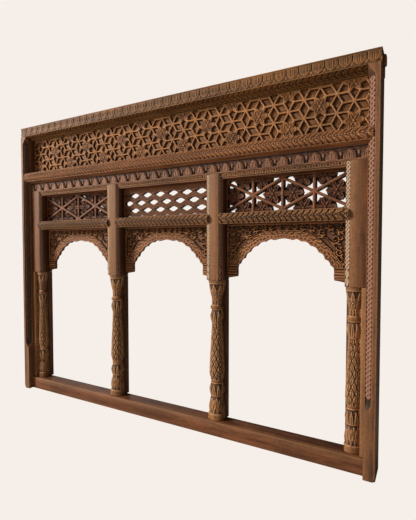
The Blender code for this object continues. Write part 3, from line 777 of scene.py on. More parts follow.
def lotus_relief(across, down, pitch):
    across = wrapped(across + pitch / 2, pitch)
    up = 0.0475 - down
    half = 0.0215 * np.clip(1.0 - np.clip((up - 0.016) / 0.0255, 0.0, 1.0) ** 2.1, 0.0, 1.0) ** 0.75
    inside = half - np.abs(across)
    petal = ease(inside / 0.0024)
    height = -0.0058 * (1.0 - petal) * ease((up - 0.004) * 500) * ease((0.0455 - up) * 900)
    for offset, wide, deep in ((0.0046, 0.0015, 0.0042), (0.0092, 0.0013, 0.0036)):
        height -= deep * groove(inside - offset, wide) * ease((up - 0.006) * 500) * petal
    height -= 0.0030 * groove(across, 0.0014) * ease((up - 0.008) * 500) * ease((0.030 - up) * 500)
    side = pitch / 2 - np.abs(across)
    bud = np.clip(1.0 - (side / 0.0048) ** 2 - ((up - 0.0235) / 0.0085) ** 2, 0.0, 1.0) ** 0.5
    stem = groove(side, 0.0014) * ease((0.018 - up) * 500) * ease((up - 0.004) * 500)
    crown = groove(np.hypot(side, up - 0.0405), 0.0040)
    height = np.maximum(height, -0.0058 + 0.0046 * np.maximum(np.maximum(bud, stem * 0.8), crown * 0.9))
    height -= 0.0016 * groove(np.hypot(side, up - 0.0235) - 0.0014, 0.0012) * bud
    return np.minimum(height, 0.0) - 0.0012 * groove(up - 0.0028, 0.0010)


lotus_front = even_path([(POST_Y, LOTUS_TOP - GAP), (POST_Y, LOTUS_LOW + GAP)], 32)
moulding("lotus_beam", lotus_front, [(BACK_Y, LOTUS_LOW + GAP), (BACK_Y, LOTUS_TOP - GAP)], 0.0570,
         0.0015, lotus_relief, FINISH["lotus"], INNER - GAP)

# %% [markdown]
# The frieze is a lattice of rhombs, six round each crossing, with a six-petalled flower on every
# second crossing of the even columns. Each rhomb is a pocket: a rib with a sharp back, a steep
# wall and a rough floor. The field tree lays two tiles, one with a flower and one without. Under
# a flower the lattice is sunk, so that the petals' own hollows show.

# %% Frieze tiles
COLUMN, ROW_STEP, TOP_NODE = 0.0563, 0.0656, FRIEZE_TOP - 0.0049
STAR_VALLEY, STAR_REACH, STAR_SINK = 0.0200, 0.0190, 0.0060


def flat_inset(loop, by):
    """A convex loop of (x, z) with each side moved in."""
    loop = np.array(loop, float)
    if np.cross(loop[1] - loop[0], loop[2] - loop[1]) < 0:
        loop = loop[::-1]
    found = []
    for i in range(len(loop)):
        p, q, r = loop[i - 1], loop[i], loop[(i + 1) % len(loop)]
        a, b = (q - p) / np.linalg.norm(q - p), (r - q) / np.linalg.norm(r - q)
        turn = a[0] * b[1] - a[1] * b[0]
        straight = np.array([-a[1], a[0]])
        found.append(q + ((b - a) * by / turn if abs(turn) > 1e-9 else straight * by))
    return np.array(found)


def cut_edges(loop, parts):
    """The loop with each of its sides cut into parts."""
    return np.vstack([loop[i] + (loop[(i + 1) % len(loop)] - loop[i]) * k / parts
                      for i in range(len(loop)) for k in range(parts)])


def pocket(outer, inner, parts=3):
    """Points, faces and marks of one pocket between its rib lines."""
    outer, inner = np.array(outer, float), np.array(inner, float)
    # Each ring is a loop, its depth, its painted shade and its crest mark: the walls are painted nearly
    # black as shade, and the rib backs take the pale crest colour, dust and painted highlight.
    rings = ((outer, 0.0, 0.0, 1.0), (flat_inset(inner, 0.0032), 0.0017, 0.15, 0.35),
             (flat_inset(inner, 0.0037), 0.0040, 0.70, 0.0), (flat_inset(inner, 0.0046), 0.0094, 0.95, 0.0),
             (flat_inset(inner, 0.0066), 0.0088, 0.30, 0.0))
    points, hollow, crest = [], [], []
    for loop, deep, dark, bright in rings:
        if np.cross(outer[1] - outer[0], outer[2] - outer[1]) < 0 and loop is outer:
            loop = outer[::-1]
        loop = cut_edges(loop, parts)
        points += [(x, PANEL_Y + deep, z) for x, z in loop]
        hollow += [dark] * len(loop)
        crest += [bright] * len(loop)
    count = 4 * parts
    faces = net(len(rings), count, wrap=True).tolist()
    faces.append(list(range((len(rings) - 1) * count, len(rings) * count)))
    return points, faces, hollow, crest


def lattice_tile(name, star):
    """The six pockets that belong to one crossing of an even column."""
    c, r, third = COLUMN, ROW_STEP, 2 * COLUMN / 3
    rhombs = [((0, 0), (0, -r)), ((c, r / 2), (c, -r / 2))]
    rhombs += [((0, 0), (sx * c, sz * r / 2)) for sx in (-1, 1) for sz in (-1, 1)]
    points, faces, hollow, crest = [], [], [], []
    for a, b in rhombs:
        a, b = np.array(a, float), np.array(b, float)
        middle = (a + b) / 2
        if abs(a[0] - b[0]) < 1e-9:
            across = np.array([third / 2, 0.0])
        else:
            slope = 1 if (b - a)[0] * (b - a)[1] > 0 else -1
            across = np.array([-slope * third / 4, r / 4])
        outer = [a, middle + across, b, middle - across]
        inner = [p.copy() for p in outer]
        run = np.linalg.norm(b - a)
        if star and not a.any():
            inner[0] = a + (b - a) * STAR_VALLEY / run
        if not star and not a.any() and abs(b[0]) < 1e-9:
            inner[2] = b + (a - b) * STAR_VALLEY / run
        p, f, h, k = pocket(outer, inner)
        faces += [[i + len(points) for i in face] for face in f]
        points += p
        hollow += h
        crest += k
    bloom = (0.0, 0.0) if star else (0.0, -r)
    for i, (x, y, z) in enumerate(points):
        off = math.hypot(x - bloom[0], z - bloom[1])
        if off < STAR_REACH:
            points[i] = (x, y + STAR_SINK * (1.0 - off / STAR_REACH), z)
    return shape(name, points, faces, {"hollow": hollow, "crest": crest})


plain_tile, star_tile = lattice_tile("plain_tile", False), lattice_tile("star_tile", True)
print("faces of a lattice tile:", len(plain_tile.data.polygons))

# %% Flower, used on the frieze and in the screens


def flower(name, front, back, tips, valley, grain=60, rings=12, proud=0.0046, turn=0.0, boss=0.0050,
           full=0.0, shade=0.5):
    """A six-petalled flower facing -Y, as a closed disc. tips are the reaches of its petals in turn,
    valley the reach between two petals, and full bellies the petals out."""
    theta = np.linspace(0, math.tau, grain, endpoint=False)
    sector = np.round(theta / (math.tau / 6)).astype(int) % 6
    aside = np.abs(wrapped(theta, math.tau / 6)) / (math.pi / 6)
    tip = np.array([tips[i % len(tips)] for i in sector])
    edge = valley + (tip - valley) * (1.0 - aside) * (1.0 + full * aside)
    share = np.linspace(0.0, 1.0, rings + 1)[1:]
    reach = share[:, None] * edge[None]
    along = np.clip((reach - boss) / (tip[None] - boss), 0.0, 1.0)
    side = reach * np.sin(np.abs(wrapped(theta, math.tau / 6)))[None]
    rim = edge[None] - reach
    lip = groove(rim - 0.0012, 0.0030)
    midrib = groove(side, 0.0022) * ease(along * 6) * ease((1 - along) * 4)
    height = 0.22 + 0.78 * np.maximum(lip, 0.75 * midrib)
    height -= 0.60 * groove(np.abs(aside[None] - 1.0) * reach, 0.0030) * (reach > boss)
    dome = np.clip(1.0 - (reach / boss) ** 2, 0.0, 1.0) ** 0.5
    height = np.maximum(np.where(reach < boss * 1.6, 0.15, height), 1.15 * dome) * proud
    # Painted shade in the flower's low places, scaled by shade, and a pale crest colour of dust and painted
    # highlight on its rims and boss.
    hollow = np.clip(1.0 - height / (0.62 * proud), 0.0, 1.0) * shade
    crest = np.clip(height / proud * 1.6 - 0.8, 0.0, 1.0)
    t = theta + turn
    points = [(0.0, front - 0.15 * proud, 0.0)]
    face = np.stack([reach * np.cos(t), front + proud - height, reach * np.sin(t)], -1)
    points += face.reshape(-1, 3).tolist()
    points += np.stack([edge * np.cos(t), np.full(grain, back), edge * np.sin(t)], -1).tolist()
    points.append((0.0, back, 0.0))
    faces = [[0, 1 + (k + 1) % grain, 1 + k] for k in range(grain)]
    faces += (net(rings + 1, grain, wrap=True) + 1).tolist()
    last = len(points) - 1
    faces += [[last - grain + k, last - grain + (k + 1) % grain, last] for k in range(grain)]
    marks = {"hollow": [0.0] + hollow.ravel().tolist() + [1.0] * grain + [1.0],
             "crest": [1.0] + crest.ravel().tolist() + [0.0] * (grain + 1)}
    return shape(name, points, faces, marks)


frieze_flower = flower("frieze_flower", PANEL_Y - 0.0030, PANEL_Y + 0.009, [0.0310], 0.0185, full=0.55)

# %% Lay the frieze, cut it to the panel, and give the panel its border and back


def frieze():
    parts, blooms = [], []
    reach = 4 * COLUMN * 4
    for star in (True, False):
        for column, line in ((0, 1), (2, 0)):
            up = line if star else 1 - line
            first = (-reach + column * COLUMN, 0.0, TOP_NODE + (2 - up) * ROW_STEP)
            values = {"Count": 9, "Step": (4 * COLUMN, 0, 0), "First": first, "Rows": 4,
                      "Row step": (0, 0, -2 * ROW_STEP), "Finish": FINISH["frieze"],
                      "Motif": star_tile if star else plain_tile}
            parts.append(grown("frieze_part", FIELD, values))
            if star:
                values["Motif"] = frieze_flower
                blooms.append(grown("frieze_flowers", FIELD, values))
    lattice = joined("frieze_lattice", parts)
    x, low, high = INNER - 0.0040, FRIEZE_LOW + 0.0015, FRIEZE_TOP - 0.0015
    mesh = bmesh.new()
    mesh.from_mesh(lattice.data)
    bmesh.ops.remove_doubles(mesh, verts=mesh.verts, dist=3e-5)
    for spot, way in (((x, 0, 0), (1, 0, 0)), ((-x, 0, 0), (-1, 0, 0)), ((0, 0, high), (0, 0, 1)),
                      ((0, 0, low), (0, 0, -1))):
        bmesh.ops.bisect_plane(mesh, geom=mesh.verts[:] + mesh.edges[:] + mesh.faces[:], dist=1e-6,
                               plane_co=spot, plane_no=way, clear_outer=True)
    for y, spread in ((PANEL_Y, False), (PANEL_Y, True), (PANEL_BACK, False)):
        rim = [e for e in mesh.edges if e.is_boundary]
        made = bmesh.ops.extrude_edge_only(mesh, edges=rim)["geom"]
        for vert in [g for g in made if isinstance(g, bmesh.types.BMVert)]:
            vert.co.y = y
            if not spread:
                continue
            if abs(abs(vert.co.x) - x) < 1e-5:
                vert.co.x = math.copysign(INNER - GAP, vert.co.x)
            if abs(vert.co.z - low) < 1e-5:
                vert.co.z = FRIEZE_LOW + GAP
            elif abs(vert.co.z - high) < 1e-5:
                vert.co.z = FRIEZE_TOP - GAP
    mesh.to_mesh(lattice.data)
    mesh.free()
    closed(lattice, 30.0)
    blooms = closed(joined("frieze_blooms", blooms), 50.0, (-x, None, low), (x, None, high))
    obj = joined("frieze_carved", [lattice, blooms])
    points = points_of(obj)
    behind = points[:, 1] > PANEL_BACK - 0.006
    inside = ~behind & (np.abs(points[:, 0]) < x - 0.001)
    inside &= (points[:, 2] > low + 0.001) & (points[:, 2] < high - 0.001)
    points[inside] = uneven(points[inside], 0.0005)
    obj.data.vertices.foreach_set("co", points.ravel())
    for mark in ("hollow", "crest"):
        values = np.empty(len(points))
        obj.data.attributes[mark].data.foreach_get("value", values)
        values[behind] = 0.0
        obj.data.attributes[mark].data.foreach_set("value", values)
    handed_over(obj, "frieze_panel")


frieze()
for tile in (plain_tile, star_tile, frieze_flower):
    bpy.data.objects.remove(tile, do_unlink=True)

# %% [markdown]
# Screens, or jalis. The two outer ones are ridged bars that cross in triangles. Each triangle
# holds a flower in front of a sunk disc, which is painted near black as shadow, so that its petals
# stand out against it. The middle one is a net of leaf-edged bars round lozenge holes. All are sawn
# from a board, so light comes through between the bars and the discs.

# %% Bars and frame of a screen
SCREEN_LOW = SCREEN_TOP - SCREEN_H
SCREEN_MID = (SCREEN_LOW + SCREEN_TOP) / 2
STEP_X, STEP_Z = 0.1177, 0.0575


def bar(points_of_line, wide, front, back, ridge, pieces=10):
    """A straight bar with a ridged front, from one (x, z) to another."""
    (ax, az), (bx, bz) = points_of_line
    run = math.hypot(bx - ax, bz - az)
    dx, dz = (bx - ax) / run, (bz - az) / run
    profile = [(-wide / 2, back), (-wide / 2, front + ridge), (-wide / 2 + 0.0006, front + ridge - 0.0005),
               (-0.0006, front + 0.0001), (0.0, front), (0.0006, front + 0.0001),
               (wide / 2 - 0.0006, front + ridge - 0.0005), (wide / 2, front + ridge), (wide / 2, back)]
    # Painted shade down the bar's sides, and a pale crest colour of dust and painted highlight along its
    # ridge.
    dark = [0.9, 0.45, 0.1, 0.0, 0.0, 0.0, 0.1, 0.45, 0.9]
    bright = [0.0, 0.3, 0.2, 0.6, 1.0, 0.6, 0.2, 0.3, 0.0]
    points, hollow, crest = [], [], []
    for i in range(pieces + 1):
        t = run * i / pieces
        for (w, y), h, k in zip(profile, dark, bright):
            points.append((ax + dx * t - dz * w, y, az + dz * t + dx * w))
            hollow.append(h)
            crest.append(k)
    count = len(profile)
    faces = net(pieces + 1, count, wrap=True).tolist()
    faces += [list(range(count)), list(range(pieces * count, (pieces + 1) * count))]
    return shape("bar", points, faces, {"hollow": hollow, "crest": crest})


def screen_frame(middle, wide, front, thick, finish):
    """The four plain bars round a screen."""
    x, low, high = BAY_W / 2 - GAP, SCREEN_LOW + GAP, SCREEN_TOP - GAP
    h = wide / 2
    lines = [((-x, low + h), (x, low + h)), ((-x, high - h), (x, high - h)),
             ((-x + h, low), (-x + h, high)), ((x - h, low), (x - h, high))]
    parts = []
    for (ax, az), (bx, bz) in lines:
        parts.append(bar(((middle + ax, az), (middle + bx, bz)), wide, front, JALI_Y + thick, 0.0006))
    for part in parts:
        part.data.materials.append(finish)
    return parts


print("screens are", round((SCREEN_TOP - SCREEN_LOW) * 1000), "mm high")

# %% The two flower screens
PETALS, PETAL_VALLEY, DISC = [0.0375, 0.0390], 0.0185, 0.0370
UPRIGHT_W, SLANT_W, RIDGE = 0.0108, 0.0110, 0.0020
up_flower = flower("up_flower", JALI_Y + 0.0012, JALI_Y + 0.0240, PETALS, PETAL_VALLEY, 60, 14, 0.0056,
                   full=0.6)
down_flower = flower("down_flower", JALI_Y + 0.0012, JALI_Y + 0.0240, PETALS, PETAL_VALLEY, 60, 14, 0.0056,
                     math.pi, full=0.6)
# The sunk disc is painted shadow: its hollow mark is set to 1 all over, and it takes the near-black finish.
sunk_disc = flower("sunk_disc", JALI_Y + 0.0120, JALI_Y + 0.0245, [DISC], DISC, 36, 3, 0.0010, shade=0.0)
sunk_disc.data.attributes["hollow"].data.foreach_set("value", [1.0] * len(sunk_disc.data.vertices))
for side in ("left", "right"):
    middle = BAYS[side]
    x = BAY_W / 2 - GAP
    low_corner, high_corner = (middle - x, None, SCREEN_LOW + GAP), (middle + x, None, SCREEN_TOP - GAP)
    parts = screen_frame(middle, 0.0050, JALI_Y + 0.0004, JALI_T, FINISH["screen"])
    bars = []
    for k in range(-2, 3):
        ends = [(middle + k * STEP_X, SCREEN_LOW), (middle + k * STEP_X, SCREEN_TOP)]
        bars.append(bar(ends, UPRIGHT_W, JALI_Y, JALI_Y + JALI_T - 0.0005, RIDGE))
    for k in range(-4, 5):
        base = SCREEN_MID + STEP_Z * (2 * k + 1)
        for lean in (-1, 1):
            ends = [(middle + way * 2.2 * STEP_X, base + way * lean * 2.2 * STEP_Z) for way in (-1, 1)]
            bars.append(bar(ends, SLANT_W, JALI_Y + 0.0003, JALI_Y + JALI_T - 0.0007, RIDGE, 40))
    for part in bars:
        part.data.materials.append(FINISH["screen"])
    grid = closed(joined("bars", bars), 30.0, low_corner, high_corner)
    flowers = []
    for motif, shift in ((up_flower, 2 / 3), (down_flower, 1 / 3), (sunk_disc, 2 / 3), (sunk_disc, 1 / 3)):
        finish = FINISH["screen_shadow" if motif is sunk_disc else "screen"]
        for column in range(-2, 2):
            even = column % 2 == 0
            lift = STEP_Z if even == (shift > 0.5) else 0.0
            first = (middle + (column + shift) * STEP_X, 0.0, SCREEN_MID - 4 * STEP_Z + lift)
            flowers.append(row("flowers", motif, 5, (0, 0, 2 * STEP_Z), first, finish))
    blooms = closed(joined("blooms", flowers), 50.0, low_corner, high_corner)
    obj = joined("jali_%s_carved" % side, [grid, blooms] + [closed(p, 30.0) for p in parts])
    handed_over(obj, "jali_" + side)
for tile in (up_flower, down_flower, sunk_disc):
    bpy.data.objects.remove(tile, do_unlink=True)

# %% The net screen
NET_PITCH, NET_ROW, NET_PHASE = 0.0705, 0.0340, -0.0285
HOLE_W, HOLE_H, HOLE_ROUND = 0.0250, 0.0119, 1.45
HEAD_W = 0.0150


def net_tile(name):
    """One mesh of the net: from the middle line of its bars in to the leafy edge of the hole."""
    grain, rings = 64, 14
    theta = np.linspace(0, math.tau, grain, endpoint=False)
    c, s = np.cos(theta), np.sin(theta)
    outer = 1.0 / (np.abs(c) / (NET_PITCH / 2) + np.abs(s) / NET_ROW)
    wavy = 1.0 + 0.075 * np.cos(8 * theta)
    hole = np.abs(c / HOLE_W) ** HOLE_ROUND + np.abs(s / HOLE_H) ** HOLE_ROUND
    hole = wavy / hole ** (1 / HOLE_ROUND)
    hole = np.minimum(hole, outer * 0.86)
    points, hollow, crest = [], [], []
    for k in range(rings + 1):
        t = k / rings
        reach = outer + (hole - outer) * t
        height = -0.0024 * groove(t - 0.02, 0.13)
        height -= 0.0030 * groove(t - 0.50 - 0.05 * np.cos(8 * theta), 0.14)
        height -= 0.0024 * np.clip((t - 0.84) / 0.16, 0, 1) ** 2
        for j in range(grain):
            points.append((reach[j] * c[j], JALI_Y - height[j], reach[j] * s[j]))
            # Painted shade in the cut grooves and down into the hole, and a pale crest colour of dust and
            # painted highlight on the raised rims; the back rings are painted dark as shade.
            hollow.append(min(1.0, -height[j] / 0.0022))
            crest.append(max(0.0, 1.0 + height[j] / 0.0009))
    for reach, dark in ((hole, 1.0), (outer, 0.4)):
        for j in range(grain):
            points.append((reach[j] * c[j], JALI_Y + BOARD_T - 0.001, reach[j] * s[j]))
            hollow.append(dark)
            crest.append(0.0)
    return shape(name, points, net(rings + 3, grain, wrap=True), {"hollow": hollow, "crest": crest})


mesh_tile = net_tile("mesh_tile")
layers = []
for odd in (0, 1):
    first = (NET_PHASE + (0.5 if odd == 0 else 0.0) * NET_PITCH - 5 * NET_PITCH, 0.0,
             SCREEN_MID - 4 * NET_ROW + odd * NET_ROW)
    layers.append(grown("net_rows", FIELD, {"Motif": mesh_tile, "Count": 11, "Step": (NET_PITCH, 0, 0),
                                            "First": first, "Rows": 5, "Row step": (0, 0, 2 * NET_ROW),
                                            "Finish": FINISH["screen"]}))
x = BAY_W / 2 - GAP
lace = joined("lace", layers)
closed(lace, 35.0, (-x + 0.003, None, SCREEN_LOW + 0.002), (x - 0.003, None, SCREEN_TOP - 0.002))
frame_bars = screen_frame(0.0, 0.0070, JALI_Y - 0.0002, BOARD_T, FINISH["screen"])
head_line = [(-x, SCREEN_TOP - 0.0080), (x, SCREEN_TOP - 0.0080)]
head = bar(head_line, HEAD_W, JALI_Y - 0.0001, JALI_Y + BOARD_T, 0.0012)
head.data.materials.append(FINISH["screen"])
frame_bars = [closed(p, 30.0) for p in frame_bars + [head]]
handed_over(joined("jali_centre_carved", [lace] + frame_bars), "jali_centre")
bpy.data.objects.remove(mesh_tile, do_unlink=True)

# %% [markdown]
# The arch boards. Their lower edge is a chain of shallow scallops that ends in a bracket at each
# post. Bands of beads and leaves follow that edge, so the net of faces is stretched between the
# scallops and the straight sides of the board, and every point knows its distance from the edge.

# %% Edge of the arch
ARCH_TOP = TRANSOM_LOW - GAP
ARCH_HALF = BAY_W / 2 - GAP
BRACKET = [(0.0, 0.2070), (0.0080, 0.2130), (0.0430, 0.2070), (0.0445, 0.1900), (0.0435, 0.1760),
           (0.0460, 0.1610), (0.0560, 0.1540)]
CURVE = [(0.0560, 0.1540), (0.0760, 0.1330), (0.0980, 0.1080), (0.1270, 0.0850), (0.1620, 0.0690),
         (0.1960, 0.0632)]


def arch_edge():
    """The half edge from post to crown as (in from the post, down from the top), closely spaced."""
    found = []
    for a, b in zip(BRACKET, BRACKET[1:]):
        for k in range(10):
            found.append((a[0] + (b[0] - a[0]) * k / 10, a[1] + (b[1] - a[1]) * k / 10))
    ends = CURVE + [(2 * ARCH_HALF - CURVE[-1][0], CURVE[-1][1])]
    for a, b in zip(ends, ends[1:]):
        run = math.dist(a, b)
        n = ((b[1] - a[1]) / run, -(b[0] - a[0]) / run)
        for k in range(14):
            t = k / 14
            rise = 0.0060 * math.sin(math.pi * t) * min(1.0, run / 0.035)
            spot = (a[0] + (b[0] - a[0]) * t + n[0] * rise, a[1] + (b[1] - a[1]) * t + n[1] * rise)
            if spot[0] <= ARCH_HALF:
                found.append(spot)
    mirrored = [(2 * ARCH_HALF - u, v) for u, v in found[::-1] if u < ARCH_HALF - 1e-6]
    return np.array([p for p in found if p[0] < ARCH_HALF - 1e-6] + [(ARCH_HALF, found[-1][1])] + mirrored)


EDGE = arch_edge()
print("arch edge points:", len(EDGE), "crown", EDGE[len(EDGE) // 2].round(4).tolist())

# %% Scrolls of the spandrels


def volute(u, v, radius, start, turns, way, wide):
    """A spiral stroke as points with half widths, wound in from its outside."""
    t = np.linspace(0.0, 1.0, 46)
    angle = start + way * turns * math.tau * t
    reach = radius * (1.0 - 0.80 * t)
    return np.stack([u + reach * np.cos(angle), v + reach * np.sin(angle), wide * (1.0 - 0.45 * t)], 1)


def leaf_stroke(u, v, angle, length, wide, bend):
    """A bent leaf as points with half widths, from its stalk to its tip."""
    t = np.linspace(0.0, 1.0, 16)
    turn = angle + bend * t
    x = u + length * np.cumsum(np.cos(turn)) / len(t)
    y = v + length * np.cumsum(np.sin(turn)) / len(t)
    return np.stack([x, y, wide * np.sin(np.pi * (0.12 + 0.88 * t)) ** 0.7 + 0.0002], 1)


def scroll_strokes():
    """A stem along the spandrel, and scrolls on it with five leaves round each."""
    strokes = []
    for u, v, r, start, way in ((0.0400, 0.0620, 0.0170, 0.6, 1), (0.0260, 0.1080, 0.0130, 2.6, -1),
                                (0.0860, 0.0350, 0.0140, 2.2, -1), (0.0200, 0.0260, 0.0130, 0.2, 1),
                                (0.1230, 0.0210, 0.0100, 0.6, 1), (0.1560, 0.0170, 0.0080, 2.2, -1),
                                (0.1860, 0.0150, 0.0075, 0.6, 1), (0.2130, 0.0145, 0.0075, 2.2, -1),
                                (0.0560, 0.0190, 0.0100, 2.8, -1), (0.0150, 0.1400, 0.0090, 0.3, 1)):
        strokes.append(volute(u, v, r, start, 1.30, way, 0.0030 if r > 0.009 else 0.0022))
        for k in range(5):
            angle = start + way * (0.5 + 0.95 * k)
            strokes.append(leaf_stroke(u + r * 1.02 * math.cos(angle), v + r * 1.02 * math.sin(angle),
                                       angle + way * 0.5, r * 0.75, 0.0030, way * 0.9))
    t = np.linspace(0.0, 1.0, 90)
    stem_u = 0.018 + 0.205 * t
    stem_v = 0.085 * (1 - t) ** 2.2 + 0.020 + 0.0065 * np.sin(t * 19.0)
    strokes.append(np.stack([stem_u, stem_v, np.full_like(t, 0.0020)], 1))
    return np.vstack(strokes)


STROKES = scroll_strokes()
print("points on the scroll strokes:", len(STROKES))

# %% Relief of the arch


def arch_relief(points):
    """Heights over the board's front for (in from the post, down from the top)."""
    u = np.minimum(points[:, 0], 2 * ARCH_HALF - points[:, 0])
    v = points[:, 1]
    run = np.concatenate([[0.0], np.cumsum(np.linalg.norm(np.diff(EDGE, axis=0), axis=1))])
    dense = np.linspace(0.0, run[-1], 1400)
    line = np.stack([np.interp(dense, run, EDGE[:, k]) for k in (0, 1)], 1)
    off, along, foliage = np.empty(len(points)), np.empty(len(points)), np.zeros(len(points))
    for i in range(0, len(points), 2000):
        part = slice(i, i + 2000)
        gap = np.linalg.norm(points[part, None, :] - line[None], axis=2)
        near = gap.argmin(axis=1)
        off[part] = gap[np.arange(len(near)), near]
        along[part] = np.minimum(dense[near], run[-1] - dense[near])
        du = u[part, None] - STROKES[None, :, 0]
        dv = v[part, None] - STROKES[None, :, 1]
        away = np.hypot(du, dv) / STROKES[None, :, 2]
        foliage[part] = np.clip(1.15 - away.min(axis=1) ** 2, 0.0, 1.0)
    height = -0.0014 * groove(off - 0.0062, 0.0011)
    beads = bead_line(along, off, 0.0105, 0.0100, 0.0036)
    height -= 0.0026 * (1.0 - beads) * ease((off - 0.0066) * 1500) * ease((0.0136 - off) * 1500)
    height -= 0.0016 * groove(off - 0.0178, 0.0012)
    leaves = leaf_row(along, off, 0.0150, 0.0190, 0.0105, 0.9)
    height -= 0.0034 * (1.0 - leaves) * ease((off - 0.0186) * 1500) * ease((0.0300 - off) * 1500)
    field = ease((off - 0.0325) * 900) * ease((v - 0.0050) * 900) * ease((u - 0.0030) * 900)
    height -= 0.0075 * field * (1.0 - ease(foliage * 1.3) * (0.88 + 0.12 * foliage))
    rings = 0.0030 * (0.5 + 0.5 * np.cos(v * math.tau / 0.0105))
    lower = ease((v - 0.1600) * 250) * ease((0.0560 - u) * 300)
    height = height * (1.0 - lower) - (rings + 0.0036 * groove(v - 0.1700, 0.0026)) * lower
    return height


def arch_board(name, middle, heights=None):
    """One arch board and its heights, which the next board can use again."""
    rows_between, count = 58, 380
    run = np.concatenate([[0.0], np.cumsum(np.linalg.norm(np.diff(EDGE, axis=0), axis=1))])
    s = np.linspace(0.0, run[-1], count)
    low = np.stack([np.interp(s, run, EDGE[:, k]) for k in (0, 1)], 1)
    share = s / run[-1]
    turn = 0.30
    high = np.empty_like(low)
    for i, t in enumerate(share):
        m = min(t, 1 - t)
        edge = (0.0, 0.2070 * (1 - m / turn)) if m < turn else ((m - turn) / (0.5 - turn) * ARCH_HALF, 0.0)
        high[i] = edge if t <= 0.5 else (2 * ARCH_HALF - edge[0], edge[1])
    mix = np.linspace(0.0, 1.0, rows_between + 1)[:, None, None] ** 1.15
    flat = low[None] * (1 - mix) + high[None] * mix
    shape_2d = flat.reshape(-1, 2)
    if heights is None:
        heights = arch_relief(shape_2d)
        heights = heights.reshape(rows_between + 1, count)
        heights[-1] = 0.0
        heights[:, [0, -1]] = 0.0
    hollow, crest = shade_and_wear_marks(heights, wrap=(), deep=0.0055)
    x = middle - ARCH_HALF + shape_2d[:, 0]
    z = ARCH_TOP - shape_2d[:, 1]
    front = np.stack([x, ARCH_Y - heights.ravel(), z], 1)
    behind = np.stack([x, np.full(len(x), ARCH_Y + BOARD_T), z], 1).reshape(rows_between + 1, count, 3)
    rim = np.concatenate([behind[0], behind[-1]])
    points = np.concatenate([front, rim])
    faces = net(rows_between + 1, count).tolist()
    first, last = len(front), len(front) + count
    top_row = rows_between * count
    for k in range(count - 1):
        faces.append([k, k + 1, first + k + 1, first + k])
        faces.append([top_row + k, top_row + k + 1, last + k + 1, last + k])
        faces.append([first + k, first + k + 1, last + k + 1, last + k])
    # The board's edge faces are painted half dark as shade.
    marks = {"hollow": np.concatenate([hollow.ravel(), np.full(2 * count, 0.5)]),
             "crest": np.concatenate([crest.ravel(), np.zeros(2 * count)])}
    return shape(name, points, faces, marks, FINISH["arch"]), heights


shared = None
for side, middle in BAYS.items():
    obj, shared = arch_board("arch_%s_carved" % side, middle, shared)
    handed_over(closed(obj, 45.0), "arch_" + side)

# %% [markdown]
# Braids. Two strands cross and cross again down the chamfers of the jambs and posts, with an eye
# in each loop. They are real strands here, laid on a sunk ground that is painted dark as shade: one
# period is modelled and the row tree runs it up the post. Over a pillar the braid ends in one long
# twist.

# %% One period of a braid


def braid_length(name, period, spread, strand, rise, base, across, outward):
    """base is the (x, y) of the ground's middle line, across and outward are unit ways in plan."""
    points, faces, hollow, crest = [], [], [], []
    steps, sides = 16, 8
    across, outward = np.array(across), np.array(outward)
    for way in (1, -1):
        start = len(points)
        for i in range(steps + 1):
            phase = math.tau * i / steps
            mid = way * spread * math.sin(phase)
            lift = rise * (0.55 + 0.45 * way * math.cos(phase))
            slope = way * spread * math.tau / period * math.cos(phase)
            norm = math.hypot(1.0, slope)
            for k in range(sides):
                angle = math.tau * k / sides
                w, h = strand * math.cos(angle), strand * 0.62 * math.sin(angle)
                plan = np.array(base) + across * (mid + w / norm) + outward * (lift + h)
                points.append((plan[0], plan[1], period * i / steps - w * slope / norm))
                # Painted shade on the underside of each strand and where it dips under the other; the crest
                # mark on its top is a pale colour of dust and painted highlight.
                hollow.append(max(0.0, -math.sin(angle)) * 0.9 + (0.25 if lift < rise * 0.3 else 0.0))
                crest.append(max(0.0, math.sin(angle)))
        faces += (net(steps + 1, sides, wrap=True) + start).tolist()
    for eye in (0.25, 0.75):
        start = len(points)
        radius = spread * 0.34
        for ring, lift in ((1.0, 0.0), (0.75, 0.6), (0.3, 0.95)):
            for k in range(8):
                angle = math.tau * k / 8
                plan = np.array(base) + across * radius * ring * math.cos(angle)
                plan = plan + outward * rise * 0.8 * lift
                points.append((plan[0], plan[1], period * eye + radius * ring * math.sin(angle)))
                hollow.append(0.4 * (1 - lift))
                crest.append(lift)
        faces += (net(3, 8, wrap=True) + start).tolist()
        faces.append([start + 16 + k for k in range(8)])
        faces.append([start + k for k in range(8)])
    return shape(name, points, faces, {"hollow": hollow, "crest": crest})


def braid(name, low, high, period, spread, strand, rise, base, across, outward, finish):
    count = max(1, round((high - low) / period))
    period = (high - low) / count
    tile = braid_length(name + "_length", period, spread, strand, rise, base, across, outward)
    obj = row(name, tile, count, (0, 0, period), (0, 0, low), finish)
    bpy.data.objects.remove(tile, do_unlink=True)
    return closed(obj, 60.0)


print("braid tools ready")

# %% [markdown]
# Jambs: plain uprights that frame the window, with a chamfer on the inner arris. The chamfer
# stops short of both ends in a long taper, the carver's lamb's tongue. The body is a loft of plan
# outlines, and the braid lies in the sunk chamfer.

# %% Body of a jamb


def smooth_steps(low, high, count):
    """Levels from low up to just under high."""
    return [low + (high - low) * k / count for k in range(count)]


def lofted(name, rings, marks, finish):
    """A skin over outlines with as many points each, closed at both ends."""
    count = len(rings[0])
    points = np.array(rings).reshape(-1, 3)
    faces = net(len(rings), count, wrap=True).tolist()
    faces += [list(range(count)), list(range((len(rings) - 1) * count, len(rings) * count))]
    return shape(name, points, faces, marks, finish)


